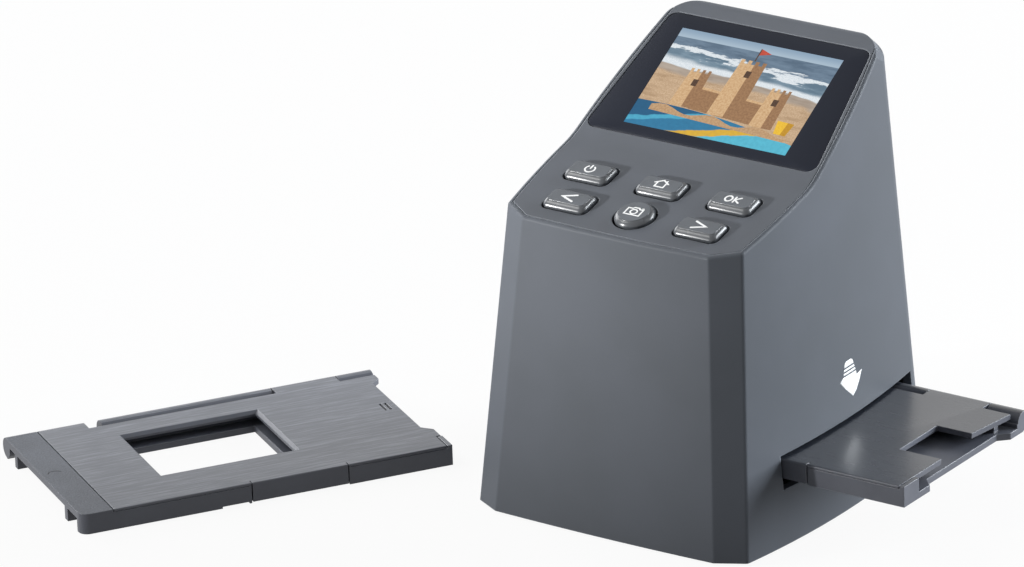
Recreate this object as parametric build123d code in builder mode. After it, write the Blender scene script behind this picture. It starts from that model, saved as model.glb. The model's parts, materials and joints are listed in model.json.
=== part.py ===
from build123d import *
import os
from math import cos, radians, sin, tan

# A table-top film scanner: a tapered housing with a sloping control deck, a film tray pushed into
# the slot in its side, and a second film tray lying on the table beside it.
# Millimetres. The origin is on the table under the housing, +X to its right, +Y to its back, +Z up.

# ------------------------------------------------------------------ driving sizes: housing
foot_height = 0.6             # the rubber feet stand this far out of the housing's underside
half_width = 44.2             # at table level, where the bowed sides are widest
side_lean = 4.8               # degrees
side_bow = 4.1                # how much narrower the sides are at front and back than in the middle
middle_y = 3.2
front_reach = 42.0            # front face ahead of the origin, at table level
front_lean = 6.7              # degrees
front_bow = 1.2
back_lean = 0.3               # degrees
corner_cut_width = 6.9
corner_cut_depth = 4.8
back_corner_radius = 6.5
front_edge_radius = 1.2       # along the upright edges of the cut front corners
wall = 2.2
fit_gap = 0.2                 # between parts that are assembled and stay still
run_gap = 0.3                 # between parts that move past each other
root_tuck = 0.8               # how far a boss or rib runs into the wall that carries it

# ------------------------------------------------------------------ driving sizes: deck
deck_front_height = 78.8
key_deck_slope = 14.2         # degrees
key_deck_length = 36.3
view_deck_slope = 30.4        # degrees
view_deck_length = 53.55
bend_radius = 25.0
crest_radius = 3.2
shoulder_width = 11.2         # the crest falls away at both ends, along part of an ellipse
shoulder_drop = 14.5
shoulder_half = 33.2
shoulder_tilt = 40.0          # degrees
shoulder_reach = 16.0
deck_thickness = 2.0
deck_back_drop = 9.0          # how far the deck reaches down the back
lip = 1.0                     # housing rim left showing around the deck
edge_round = 0.8

# ------------------------------------------------------------------ driving sizes: keys
key_width = 12.7
key_depth = 7.6
key_rise = 1.6
key_skirt = 0.35              # straight part of a key's side above the deck
key_slant_x = 0.5
key_slant_y = 1.2
key_corner = 1.6
key_edge_round = 0.35
round_key_radius = 5.3
round_key_slant = 0.8
key_gap = 0.6
key_travel = 0.8
key_flange = 1.1
flange_thickness = 0.7
flange_gap = 0.15
upper_row = 23.1
lower_row = 10.2
upper_pitch = 21.6
lower_pitch = 19.7
stem_side = 2.6
stem_length = 1.0
plunger_gap = 0.1
plunger_height = 1.0
plunger_radius = 1.6
switch_height = 3.2
switch_side = 6.0
board_thickness = 1.2
key_board_width = 62.0
key_board_span = (5.0, 29.0)
key_boss_upper = 10.85
key_boss_lower = 9.3
board_boss_radius = 2.0

# ------------------------------------------------------------------ driving sizes: display
window_low = 4.3
window_high = 44.9
window_low_half = 35.0
window_high_half = 30.3
window_corner = 2.8
window_thickness = 1.2
window_sink = 0.1
window_gap = 0.1
view_middle = 24.0
active_width = 48.96
active_height = 36.72
view_margin = 1.0
panel_border_x = 4.3
panel_border_y = 1.8
panel_thickness = 2.4
frame_thickness = 1.2
frame_ear = 3.0
frame_opening_inset = 3.0
frame_boss_x = 25.5
frame_boss_radius = 1.35

# ------------------------------------------------------------------ driving sizes: film path
tray_left = -24.8             # left end of the tray in the slot, at rest
back_room = 10.4              # from the tray to the back of the housing
tray_underside = 17.6
slot_low = 15.0
slot_high = 24.0
slot_front_gap = 0.6
slot_back_gap = 4.0
axis_across = 30.9            # from the tray's near side to the optical axis
gate_width = 38.0
gate_depth = 28.0
guide_side_gap = 0.83
guide_thickness = 3.0
guide_slack = 0.2             # above and below the tray
rail_width = 3.3
top_guide_thickness = 2.0
leg_radius = 3.5
front_legs = (25.0, -18.0)
back_legs = (17.0, 36.5)
spring_thickness = 0.3
spring_half = 7.0
spring_foot = 2.5
spring_height = 3.0
spring_pocket = 1.6
spring_gap = 0.1

# ------------------------------------------------------------------ driving sizes: trays
tray_length = 102.0
tray_width = 59.6
tray_thickness = 5.6
end_bar = 8.7                 # width of the ribbed bar at the tray's leading end
bar_thickness = 2.0
split = 0.3
lid_gap = 0.1
lid_thickness = 1.5
lid_rim = 0.7                 # thickness of the lid where it lies over the near wall
lid_rim_width = 3.4
floor_thickness = 1.8
floor_setback = 5.0
near_wall = 2.0
latch_wall = 3.0
tray_corner = 2.5
tray_edge_round = 0.35
barrel_radius = 2.7
barrel_setback = 5.8          # from the far side to where the floor stops short of the lid's knuckles
hinge_pin_radius = 0.8
pin_clearance = 0.08
pin_setback = 0.8
end_knuckle = 9.8
lid_knuckle_a = 12.8
lid_knuckle_b = 17.9
knuckle_hole = 4.1            # open stretch of the hinge between the first lid and base knuckles
latch_start = 46.6
latch_end = 73.2
latch_thickness = 1.4
latch_lift = 0.3
latch_slit = 1.6
finger_notch = (38.4, 45.8)
finger_notch_height = 0.5
film_rails = ((10.4, 12.6), (48.4, 50.4))
film_rail_height = 3.2
window_u = (28.0, 64.8)
window_v = (16.0, 44.6)
window_step = 0.8
near_lug = 3.4
far_lug = 3.4
end_notch = (14.7, 48.0)
end_notch_depth = 2.6
end_post_width = 1.3
end_post_length = 7.0
speed_notch = (20.1, 37.9)
speed_notch_depth = 14.0
far_tongue_setback = 3.7
far_tongue_slant = 1.9
arrow_depth = 0.3
arrow_line = 0.45
arrow_tip = 88.4
arrow_middle = 31.85
loose_left = -116.0
loose_near = -106.4
loose_turn = 57.1             # degrees

# ------------------------------------------------------------------ driving sizes: underside
base_thickness = 2.4
boss_radius = 3.6
boss_height = 10.5
front_boss = (34.6, -29.0)
back_boss = (33.6, 40.0)
screw_radius = 1.25
screw_head_radius = 2.5
screw_head_height = 1.5
screw_slack = 0.05
head_slack = 0.3
screw_reach = 8.0             # into its boss
rib_thickness = 2.4
foot_radius = 4.5
foot_seat = 0.6
front_feet = (33.5, -17.0)
back_feet = (33.0, 29.0)

# ------------------------------------------------------------------ driving sizes: light and camera
light_width = 50.0
light_depth = 40.0
light_wall = 1.5
light_board_thickness = 1.2
light_gap = 0.6               # between the diffuser and the guide above it
diffuser_thickness = 2.0
lamp_side = 3.0
lamp_height = 0.8
lamp_pitch = 9.0
camera_half_x = 19.0
camera_half_y = 16.0
camera_height = 34.0
camera_wall = 2.0
lens_shelf = 16.0             # height of the lens shelf over the upper guide
lens_shelf_thickness = 2.0
lens_barrel_radius = 7.0
lens_barrel_height = 13.0
lens_barrel_drop = 3.0
lens_collar = 1.2
lens_radius = 5.4
lens_thickness = 2.0
filter_side = 11.0
filter_thickness = 0.6
sensor_side = 9.0
sensor_thickness = 1.4
small_screw_radius = 0.8
small_head_radius = 1.5
small_head_height = 0.9
small_screw_length = 2.6
guide_screw_length = 10.0
hole_spare = 0.3              # a screw hole is this much deeper than its screw

# ------------------------------------------------------------------ driving sizes: main board
main_board_face = -28.0       # the side that carries the parts
main_board_front = -8.0
main_board_step = 2.0         # from here to the back the board is taller
main_board_low = 30.0
main_board_mid = 68.0
main_board_high = 79.0
main_board_gap = 0.6
main_post_radius = 2.4
main_posts = ((-4.0, 35.0), (32.0, 35.0), (-4.0, 63.0), (40.0, 75.6))
card_slot_size = (2.9, 28.0, 26.0)
card_slot_middle = 59.5
usb_size = (3.9, 9.0, 7.7)
usb_middle = 40.5
connector_wall = 0.4
port_slack = 0.3
ribbon_thickness = 0.3
lead_width = 3.6
lead_tail = 2.5


# ------------------------------------------------------------------ small helpers
def slab(x_span, y_span, z_span, mode=Mode.ADD):
    with Locations(tuple((low + high) / 2 for low, high in (x_span, y_span, z_span))):
        Box(*(high - low for low, high in (x_span, y_span, z_span)), mode=mode)


def peg(place, radius, length, mode=Mode.ADD):
    with Locations(place):
        Cylinder(radius, length, align=(Align.CENTER, Align.CENTER, Align.MIN), mode=mode)


def four_corners(front, back):
    return [(side * x, y) for x, y in (front, back) for side in (1, -1)]


# ------------------------------------------------------------------ housing shape
def front_at(height):
    return -front_reach + height * tan(radians(front_lean))


tower_top = deck_front_height + (key_deck_length + 2 * view_middle) * sin(radians(view_deck_slope)) + 6
crest_y = (
    front_at(deck_front_height)
    + key_deck_length * cos(radians(key_deck_slope))
    + view_deck_length * cos(radians(view_deck_slope))
)
back_reach = crest_y + tower_top * tan(radians(back_lean))


def back_at(height):
    return back_reach - height * tan(radians(back_lean))


def half_at(depth, height):
    bow = side_bow * ((depth - middle_y) / ((front_reach + back_reach) / 2)) ** 2
    return half_width - height * tan(radians(side_lean)) - bow


# The plan outline at one height: bowed front and sides, cut front corners, round back corners, all
# moved inwards by the inset. With open_back the outline runs on past the back wall, so that a cut
# made with it is open there.
def housing_outline(height, inset=0.0, open_back=0.0):
    front = front_at(height)
    cut_x = half_at(front, height) - corner_cut_width
    cut_y = front + corner_cut_depth
    inner = Vector(cut_x, front + front_bow * (cut_x / half_width) ** 2)
    outer = Vector(half_at(cut_y, height), cut_y)
    along = (outer - inner).normalized()
    shifted = inner + Vector(-along.Y, along.X) * inset
    inner = shifted + along * ((inner.Y + inset - shifted.Y) / along.Y)
    outer = shifted + along * ((outer.X - inset - shifted.X) / along.X)
    back = back_at(height) - inset
    rear = (half_at(back + inset, height) - inset, back)
    side = (half_at(middle_y, height) - inset, middle_y)
    with BuildSketch(Plane.XY.offset(height)) as outline:
        with BuildLine():
            ThreePointArc((-inner.X, inner.Y), (0, front + inset), (inner.X, inner.Y))
            Line((inner.X, inner.Y), (outer.X, outer.Y))
            ThreePointArc((outer.X, outer.Y), side, rear)
            if open_back:
                beyond = back + open_back
                Polyline(rear, (rear[0], beyond), (-rear[0], beyond), (-rear[0], back))
            else:
                Line(rear, (-rear[0], back))
            ThreePointArc((-rear[0], back), (-side[0], middle_y), (-outer.X, outer.Y))
            Line((-outer.X, outer.Y), (-inner.X, inner.Y))
        make_face()
        if not open_back:
            corners = outline.vertices().group_by(Axis.Y)[-1]
            fillet(corners, radius=back_corner_radius - inset)
        if not inset:
            for side in (1, -1):
                for corner in (inner, outer):
                    found = outline.vertices().sort_by_distance((side * corner.X, corner.Y, height))[0]
                    fillet(found, radius=front_edge_radius)
    return outline.sketch


def housing_tower(inset=0.0, open_back=0.0, low=foot_height, high=tower_top):
    return [housing_outline(low, inset, open_back).face(), housing_outline(high, inset, open_back).face()]


# ------------------------------------------------------------------ deck planes
key_slope = radians(key_deck_slope)
view_slope = radians(view_deck_slope)
key_deck = Plane(
    origin=(0, front_at(deck_front_height), deck_front_height),
    x_dir=(1, 0, 0),
    z_dir=(0, -sin(key_slope), cos(key_slope)),
)
view_deck = Plane(
    origin=key_deck.from_local_coords((0, key_deck_length, 0)),
    x_dir=(1, 0, 0),
    z_dir=(0, -sin(view_slope), cos(view_slope)),
)
crest_height = view_deck.origin.Z + (crest_y - view_deck.origin.Y) * tan(view_slope)
seam_height = crest_height - deck_back_drop
wide = 2 * half_width
beyond_back = 12.0


# Everything above the deck, or above a surface a given depth under it, as a section from the side.
# Behind the crest it turns down to the seam, a given distance inside the back wall.
def above_deck(depth=0.0, turn=-0.3, seam=seam_height):
    bend_shift = depth * tan((view_slope - key_slope) / 2)
    start = key_deck.from_local_coords((0, -beyond_back, -depth))
    bend = key_deck.from_local_coords((0, key_deck_length + bend_shift, -depth))
    turn_y = crest_y - turn
    turn_z = bend.Z + (turn_y - bend.Y) * tan(view_slope)
    with BuildSketch(Plane.YZ) as section:
        with BuildLine():
            Polyline(
                (start.Y, start.Z),
                (bend.Y, bend.Z),
                (turn_y, turn_z),
                (turn_y, seam),
                (crest_y + beyond_back, seam),
                (crest_y + beyond_back, tower_top + beyond_back),
                (start.Y, tower_top + beyond_back),
                close=True,
            )
        make_face()
        corners = section.vertices()
        fillet(corners.sort_by_distance((bend.Y, bend.Z))[0], radius=bend_radius + depth)
        if not depth:
            corners = section.vertices()
            fillet(corners.sort_by_distance((turn_y, turn_z))[0], radius=crest_radius)
    return section.sketch


# What the shoulders take off at both ends of the crest, on a plane square to the direction they run in.
shoulder_start = shoulder_half - shoulder_width
apex_height = crest_height - crest_radius * (tan(view_slope) + 1 / cos(view_slope) - 1)
shoulder_plane = Plane(
    origin=(0, crest_y - crest_radius / 2, apex_height - shoulder_drop),
    x_dir=(1, 0, 0),
    z_dir=(0, -cos(radians(shoulder_tilt)), sin(radians(shoulder_tilt))),
)
with BuildSketch(shoulder_plane) as shoulder_sketch:
    for side in (1, -1):
        with Locations((side * (shoulder_start + wide / 2), wide / 2)):
            Rectangle(wide, wide)
        with Locations((side * shoulder_start, 0)):
            Ellipse(shoulder_width, shoulder_drop * cos(radians(shoulder_tilt)), mode=Mode.SUBTRACT)
shoulders = shoulder_sketch.sketch

with BuildPart() as housing_block:
    loft(housing_tower(), ruled=True)
    extrude(above_deck(), amount=wide, both=True, mode=Mode.SUBTRACT)
    high_edges = housing_block.edges().filter_by(lambda e: e.center().Z > deck_front_height - 1)
    long_edges = high_edges.filter_by(lambda e: e.length > 3 and e.center().Y < back_reach - 15)
    rim = [e for e in long_edges if abs(e.center().X) > half_at(e.center().Y, e.center().Z) - 1.5]
    rim += [e for e in long_edges if e.center().Y < front_at(deck_front_height) + corner_cut_depth + 0.5]
    fillet(list(dict.fromkeys(rim)), radius=edge_round)
    extrude(shoulders, amount=shoulder_reach, both=True, mode=Mode.SUBTRACT)

with BuildPart() as deck_pocket:
    loft(housing_tower(inset=lip, open_back=beyond_back), ruled=True)
    extrude(above_deck(deck_thickness, wall + fit_gap), amount=wide, both=True, mode=Mode.INTERSECT)

# ------------------------------------------------------------------ heights and places that follow
base_top = foot_height + base_thickness
tray_top = tray_underside + tray_thickness
guide_top = tray_underside - guide_slack
guide_low = guide_top - guide_thickness
rail_top = tray_top + guide_slack
top_guide_top = rail_top + top_guide_thickness
tray_near = back_reach - back_room - tray_width
axis_y = tray_near + axis_across
rail_near = tray_near - run_gap
rail_far = tray_near + tray_width + run_gap
guide_y = (rail_near - rail_width, rail_far + rail_width)
guide_half = half_at(guide_y[1], top_guide_top) - wall - guide_side_gap
slot_y = (tray_near - slot_front_gap, tray_near + tray_width + slot_back_gap)
main_board_back = main_board_face - board_thickness
board_end = back_at(main_board_high) - wall - main_board_gap
shell_screws = four_corners(front_boss, back_boss)
leg_places = four_corners(front_legs, back_legs)
foot_places = four_corners(front_feet, back_feet)
main_board_plane = Plane(origin=(main_board_back, 0, 0), x_dir=(0, 1, 0), z_dir=(1, 0, 0))
card_x = main_board_face + card_slot_size[0] / 2
usb_x = main_board_face + usb_size[0] / 2

# ------------------------------------------------------------------ main shell
with BuildPart() as main_shell:
    add(housing_block.part)
    loft(housing_tower(inset=wall, low=0.0), ruled=True, mode=Mode.SUBTRACT)
    add(deck_pocket.part, mode=Mode.SUBTRACT)
    # The tray slot runs right through both side walls.
    slab((-wide, wide), slot_y, (slot_low, slot_high), mode=Mode.SUBTRACT)
    # Card and cable ports in the back wall.
    for port_x, (thick, _, tall), middle in (
        (card_x, card_slot_size, card_slot_middle),
        (usb_x, usb_size, usb_middle),
    ):
        slab(
            (port_x - thick / 2 - port_slack, port_x + thick / 2 + port_slack),
            (board_end, back_reach + 1),
            (middle - tall / 2 - port_slack, middle + tall / 2 + port_slack),
            mode=Mode.SUBTRACT,
        )
    # Screw bosses for the base plate, each tied to the side wall by a rib.
    for place_x, place_y in shell_screws:
        rib_end = half_at(place_y, base_top + boss_height) - wall + root_tuck
        rib = sorted((place_x, rib_end if place_x > 0 else -rib_end))
        slab(rib, (place_y - rib_thickness / 2, place_y + rib_thickness / 2), (base_top, base_top + boss_height))
        peg((place_x, place_y, base_top), boss_radius, boss_height)
        peg((place_x, place_y, base_top), screw_radius + screw_slack, screw_reach + 1, Mode.SUBTRACT)
    # Posts on the left wall that carry the main board.
    for post_y, post_z in main_posts:
        reach = half_at(post_y, post_z) - wall + root_tuck + main_board_back
        with BuildSketch(main_board_plane):
            with Locations((post_y, post_z)):
                Circle(main_post_radius)
        extrude(amount=-reach)
        with BuildSketch(main_board_plane):
            with Locations((post_y, post_z)):
                Circle(small_screw_radius + screw_slack)
        extrude(amount=board_thickness - small_screw_length - hole_spare, mode=Mode.SUBTRACT)
main_shell.part.label = "main_shell"

# ------------------------------------------------------------------ top deck
upper_keys = [(-upper_pitch, upper_row), (0, upper_row), (upper_pitch, upper_row)]
lower_keys = [(-lower_pitch, lower_row), (lower_pitch, lower_row)]
flange_low = deck_thickness + flange_gap + flange_thickness
stem_low = flange_low + stem_length
plunger_top = stem_low + key_travel + plunger_gap
switch_top = plunger_top + plunger_height
key_board_top = switch_top + switch_height
key_board_low = key_board_top + board_thickness
key_bosses = [
    (side * x, row)
    for x, row in ((key_boss_upper, upper_row), (key_boss_lower, lower_row))
    for side in (1, -1)
]
recess = window_thickness + window_sink
panel_half_x = active_width / 2 + panel_border_x
panel_half_y = active_height / 2 + panel_border_y
panel_low = deck_thickness + panel_thickness
frame_low = panel_low + frame_thickness
frame_bosses = [
    (side * frame_boss_x, view_middle + end * (panel_half_y + frame_boss_radius + fit_gap))
    for side in (1, -1)
    for end in (1, -1)
]


def window_outline(plane, grow=0.0):
    with BuildSketch(plane) as outline:
        with BuildLine():
            Polyline(
                (-window_low_half, window_low),
                (window_low_half, window_low),
                (window_high_half, window_high),
                (-window_high_half, window_high),
                close=True,
            )
        make_face()
        fillet(outline.vertices(), radius=window_corner)
        if grow:
            offset(amount=grow, kind=Kind.INTERSECTION)
    return outline.sketch


with BuildPart() as top_deck:
    add(housing_block.part)
    loft(housing_tower(inset=lip + fit_gap, open_back=beyond_back), ruled=True, mode=Mode.INTERSECT)
    extrude(
        above_deck(deck_thickness, deck_thickness, seam_height + fit_gap),
        amount=wide,
        both=True,
        mode=Mode.INTERSECT,
    )
    with BuildSketch(key_deck):
        with Locations(*upper_keys, *lower_keys):
            RectangleRounded(key_width + 2 * key_gap, key_depth + 2 * key_gap, key_corner + key_gap)
        with Locations((0, lower_row)):
            Circle(round_key_radius + key_gap)
    extrude(amount=deck_thickness + 1, both=True, mode=Mode.SUBTRACT)
    extrude(window_outline(view_deck.offset(-recess), window_gap), amount=recess + 1, mode=Mode.SUBTRACT)
    with BuildSketch(view_deck):
        with Locations((0, view_middle)):
            Rectangle(active_width + 2 * view_margin, active_height + 2 * view_margin)
    extrude(amount=-deck_thickness - 1, mode=Mode.SUBTRACT)
    # Bosses under the deck for the key board and the display frame.
    with Locations(key_deck.offset(-key_board_top)):
        for x, row in key_bosses:
            peg((x, row, 0), board_boss_radius, key_board_top - deck_thickness + 0.5)
            depth = small_screw_length - board_thickness + hole_spare
            peg((x, row, 0), small_screw_radius + screw_slack, depth, Mode.SUBTRACT)
    with Locations(view_deck.offset(-panel_low)):
        for x, row in frame_bosses:
            peg((x, row, 0), frame_boss_radius, panel_low - deck_thickness + 0.5)
            depth = small_screw_length - frame_thickness + hole_spare
            peg((x, row, 0), small_screw_radius + screw_slack, depth, Mode.SUBTRACT)
top_deck.part.label = "top_deck"

with BuildPart() as display_window:
    extrude(window_outline(view_deck.offset(-recess)), amount=window_thickness)
display_window.part.label = "display_window"

with BuildPart() as lcd_panel:
    with BuildSketch(view_deck.offset(-panel_low)):
        with Locations((0, view_middle)):
            Rectangle(2 * panel_half_x, 2 * panel_half_y)
    extrude(amount=panel_thickness)
lcd_panel.part.label = "lcd_panel"

with BuildPart() as lcd_frame:
    with BuildSketch(view_deck.offset(-panel_low)):
        with Locations((0, view_middle)):
            Rectangle(2 * panel_half_x, 2 * panel_half_y)
            Rectangle(2 * (frame_boss_x + frame_boss_radius), 2 * panel_half_y + 2 * frame_ear)
            Rectangle(
                active_width - 2 * frame_opening_inset,
                active_height - 2 * frame_opening_inset,
                mode=Mode.SUBTRACT,
            )
        with Locations(*frame_bosses):
            Circle(small_screw_radius + screw_slack, mode=Mode.SUBTRACT)
    extrude(amount=-frame_thickness)
lcd_frame.part.label = "lcd_frame"


# ------------------------------------------------------------------ keys
# A key's outline, square-cornered or round, on a plane over the deck.
def key_outline(plane, place, round_cap, grow=0.0, slant_x=0.0, slant_y=0.0):
    with BuildSketch(plane) as outline:
        with Locations(place):
            if round_cap:
                Circle(round_key_radius + grow - slant_x)
            else:
                width = key_width + 2 * (grow - slant_x)
                depth = key_depth + 2 * (grow - slant_y)
                RectangleRounded(width, depth, key_corner - slant_x / 2)
    return outline.sketch


def key_cap(place, round_cap=False):
    slant_x = round_key_slant if round_cap else key_slant_x
    slant_y = round_key_slant if round_cap else key_slant_y
    body_low = key_deck.offset(-deck_thickness - flange_gap)
    with BuildPart() as cap:
        extrude(key_outline(body_low, place, round_cap), amount=deck_thickness + flange_gap + key_skirt)
        skirt = key_outline(key_deck.offset(key_skirt), place, round_cap)
        crown = key_outline(key_deck.offset(key_rise), place, round_cap, 0.0, slant_x, slant_y)
        loft([skirt.face(), crown.face()])
        top = cap.faces().sort_by(Axis(key_deck.origin, key_deck.z_dir))[-1]
        fillet(top.edges(), radius=key_edge_round)
        extrude(key_outline(key_deck.offset(-flange_low), place, round_cap, key_flange), amount=flange_thickness)
        with BuildSketch(key_deck.offset(-stem_low)):
            with Locations(place):
                Rectangle(stem_side, stem_side)
        extrude(amount=stem_length)
    return cap.part


power_button = key_cap(upper_keys[0])
home_button = key_cap(upper_keys[1])
ok_button = key_cap(upper_keys[2])
left_button = key_cap(lower_keys[0])
right_button = key_cap(lower_keys[1])
capture_button = key_cap((0, lower_row), round_cap=True)

# ------------------------------------------------------------------ key board and switches
with BuildPart() as key_board:
    with BuildSketch(key_deck.offset(-key_board_low)):
        with Locations((0, sum(key_board_span) / 2)):
            Rectangle(key_board_width, key_board_span[1] - key_board_span[0])
        with Locations(*key_bosses):
            Circle(small_screw_radius + screw_slack, mode=Mode.SUBTRACT)
    extrude(amount=board_thickness)
key_board.part.label = "key_board"

with BuildPart() as tact_switches:
    key_places = upper_keys + lower_keys + [(0, lower_row)]
    with BuildSketch(key_deck.offset(-key_board_top)):
        with Locations(*key_places):
            Rectangle(switch_side, switch_side)
    extrude(amount=switch_height)
    with BuildSketch(key_deck.offset(-switch_top)):
        with Locations(*key_places):
            Circle(plunger_radius)
    extrude(amount=plunger_height)
tact_switches.part.label = "tact_switches"

# ------------------------------------------------------------------ base plate, feet and case screws
head_top = foot_height + screw_head_height
with BuildPart() as base_plate:
    loft(housing_tower(inset=wall + fit_gap, high=base_top), ruled=True)
    for place_x, place_y in shell_screws + leg_places:
        peg((place_x, place_y, 0), screw_radius + screw_slack, base_top + 1, Mode.SUBTRACT)
        peg((place_x, place_y, 0), screw_head_radius + head_slack, head_top, Mode.SUBTRACT)
    for place_x, place_y in foot_places:
        peg((place_x, place_y, 0), foot_radius + screw_slack, foot_height + foot_seat, Mode.SUBTRACT)
base_plate.part.label = "base_plate"

with BuildPart() as rubber_feet:
    for place_x, place_y in foot_places:
        peg((place_x, place_y, 0), foot_radius, foot_height + foot_seat)
    fillet(rubber_feet.edges().group_by(Axis.Z)[0], radius=foot_height / 2)
rubber_feet.part.label = "rubber_feet"

with BuildPart() as case_screws:
    for place_x, place_y in shell_screws + leg_places:
        peg((place_x, place_y, foot_height), screw_head_radius, screw_head_height)
        peg((place_x, place_y, head_top), screw_radius, base_top - head_top + screw_reach)
        with Locations((place_x, place_y, foot_height)):
            Box(screw_head_radius * 1.3, 0.6, screw_head_height, mode=Mode.SUBTRACT)
            Box(0.6, screw_head_radius * 1.3, screw_head_height, mode=Mode.SUBTRACT)
case_screws.part.label = "case_screws"

# ------------------------------------------------------------------ film guides
gate_x = (-gate_width / 2, gate_width / 2)
gate_y = (axis_y - gate_depth / 2, axis_y + gate_depth / 2)
guide_x = (-guide_half, guide_half)
guide_screw_places = [
    (side * (guide_half - 4), y)
    for y in (rail_near - rail_width / 2, rail_far + rail_width / 2)
    for side in (1, -1)
]

with BuildPart() as lower_guide:
    slab(guide_x, guide_y, (guide_low, guide_top))
    slab(gate_x, gate_y, (guide_low - 1, guide_top + 1), mode=Mode.SUBTRACT)
    for place_x, place_y in leg_places:
        peg((place_x, place_y, base_top), leg_radius, guide_low - base_top)
        peg((place_x, place_y, base_top), screw_radius + screw_slack, screw_reach + 1, Mode.SUBTRACT)
    for place_x, place_y in guide_screw_places:
        depth = guide_screw_length - top_guide_thickness + hole_spare
        peg((place_x, place_y, rail_top - depth), small_screw_radius + screw_slack, depth, Mode.SUBTRACT)
lower_guide.part.label = "lower_guide"

# The two rails lie on the lower guide; the long guide screws run down through them.
with BuildPart() as guide_rails:
    slab(guide_x, (guide_y[0], rail_near), (guide_top, rail_top))
    slab(guide_x, (rail_far, guide_y[1]), (guide_top, rail_top))
    slab(
        (-spring_half - fit_gap, spring_half + fit_gap),
        (rail_far, rail_far + spring_pocket),
        (tray_underside + 1, tray_top - 1),
        mode=Mode.SUBTRACT,
    )
    for place_x, place_y in guide_screw_places:
        peg((place_x, place_y, guide_top - 1), small_screw_radius + screw_slack, rail_top, Mode.SUBTRACT)
guide_rails.part.label = "guide_rails"

with BuildPart() as upper_guide:
    slab(guide_x, guide_y, (rail_top, top_guide_top))
    slab(gate_x, gate_y, (rail_top - 1, top_guide_top + 1), mode=Mode.SUBTRACT)
    for place_x, place_y in guide_screw_places:
        through = top_guide_thickness + 2
        peg((place_x, place_y, rail_top - 1), small_screw_radius + screw_slack, through, Mode.SUBTRACT)
upper_guide.part.label = "upper_guide"

spring_back = rail_far + spring_pocket
spring_front = spring_back - spring_thickness
spring_tip = tray_near + tray_width + spring_gap
with BuildPart() as detent_spring:
    with BuildSketch(Plane.XY.offset(tray_underside + (tray_thickness - spring_height) / 2)):
        with BuildLine():
            Polyline(
                (-spring_half, spring_back),
                (-spring_half + spring_foot, spring_back),
                (0, spring_tip + spring_thickness),
                (spring_half - spring_foot, spring_back),
                (spring_half, spring_back),
                (spring_half, spring_front),
                (spring_half - spring_foot, spring_front),
                (0, spring_tip),
                (-spring_half + spring_foot, spring_front),
                (-spring_half, spring_front),
                close=True,
            )
        make_face()
    extrude(amount=spring_height)
detent_spring.part.label = "detent_spring"

# ------------------------------------------------------------------ light under the film
light_x = (-light_width / 2, light_width / 2)
light_y = (axis_y - light_depth / 2, axis_y + light_depth / 2)
light_board_top = base_top + light_board_thickness
diffuser_top = guide_low - light_gap
light_box_top = diffuser_top - diffuser_thickness

with BuildPart() as led_board:
    slab(light_x, (light_y[0], light_y[1] + lead_tail), (base_top, light_board_top))
led_board.part.label = "led_board"

with BuildPart() as leds:
    with Locations((0, axis_y, light_board_top)):
        with GridLocations(lamp_pitch, lamp_pitch, 4, 3):
            Box(lamp_side, lamp_side, lamp_height, align=(Align.CENTER, Align.CENTER, Align.MIN))
leds.part.label = "leds"

with BuildPart() as light_box:
    slab(light_x, light_y, (light_board_top, light_box_top))
    slab(
        (light_x[0] + light_wall, light_x[1] - light_wall),
        (light_y[0] + light_wall, light_y[1] - light_wall),
        (light_board_top - 1, light_box_top + 1),
        mode=Mode.SUBTRACT,
    )
light_box.part.label = "light_box"

with BuildPart() as diffuser:
    slab(light_x, light_y, (light_box_top, diffuser_top))
diffuser.part.label = "diffuser"

# ------------------------------------------------------------------ camera over the film
camera_top = top_guide_top + camera_height
sensor_board_top = camera_top + board_thickness
shelf_z = top_guide_top + lens_shelf
shelf_top = shelf_z + lens_shelf_thickness
camera_x = (-camera_half_x, camera_half_x)
camera_y = (axis_y - camera_half_y, axis_y + camera_half_y)
camera_inner_x = (camera_x[0] + camera_wall, camera_x[1] - camera_wall)
camera_inner_y = (camera_y[0] + camera_wall, camera_y[1] - camera_wall)
corner_set = camera_wall + board_boss_radius / 2
sensor_screws = [
    (side * (camera_half_x - corner_set), axis_y + end * (camera_half_y - corner_set))
    for side in (1, -1)
    for end in (1, -1)
]

with BuildPart() as optics_housing:
    slab(camera_x, camera_y, (top_guide_top, camera_top))
    slab(camera_inner_x, camera_inner_y, (top_guide_top - 1, shelf_z), mode=Mode.SUBTRACT)
    slab(camera_inner_x, camera_inner_y, (shelf_top, camera_top + 1), mode=Mode.SUBTRACT)
    for place_x, place_y in sensor_screws:
        peg((place_x, place_y, shelf_top - 0.5), board_boss_radius, camera_top - shelf_top + 0.5)
        depth = small_screw_length - board_thickness + hole_spare
        peg((place_x, place_y, camera_top - depth), small_screw_radius + screw_slack, depth, Mode.SUBTRACT)
    peg((0, axis_y, shelf_z - 1), lens_barrel_radius, lens_shelf_thickness + 2, Mode.SUBTRACT)
optics_housing.part.label = "optics_housing"

lens_low = shelf_z - lens_barrel_drop
with BuildPart() as lens_barrel:
    peg((0, axis_y, lens_low), lens_barrel_radius - screw_slack, lens_barrel_height)
    peg((0, axis_y, shelf_top), lens_barrel_radius + lens_collar, lens_thickness)
    peg((0, axis_y, lens_low - 1), lens_radius, lens_barrel_height + 2, Mode.SUBTRACT)
lens_barrel.part.label = "lens_barrel"

lens_pitch = (lens_barrel_height - lens_thickness - 2) / 2
with BuildPart() as lens_elements:
    for lens in range(3):
        peg((0, axis_y, lens_low + 1 + lens * lens_pitch), lens_radius - 0.02, lens_thickness)
    fillet(lens_elements.edges().filter_by(GeomType.CIRCLE), radius=lens_thickness / 3)
lens_elements.part.label = "lens_elements"

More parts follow.
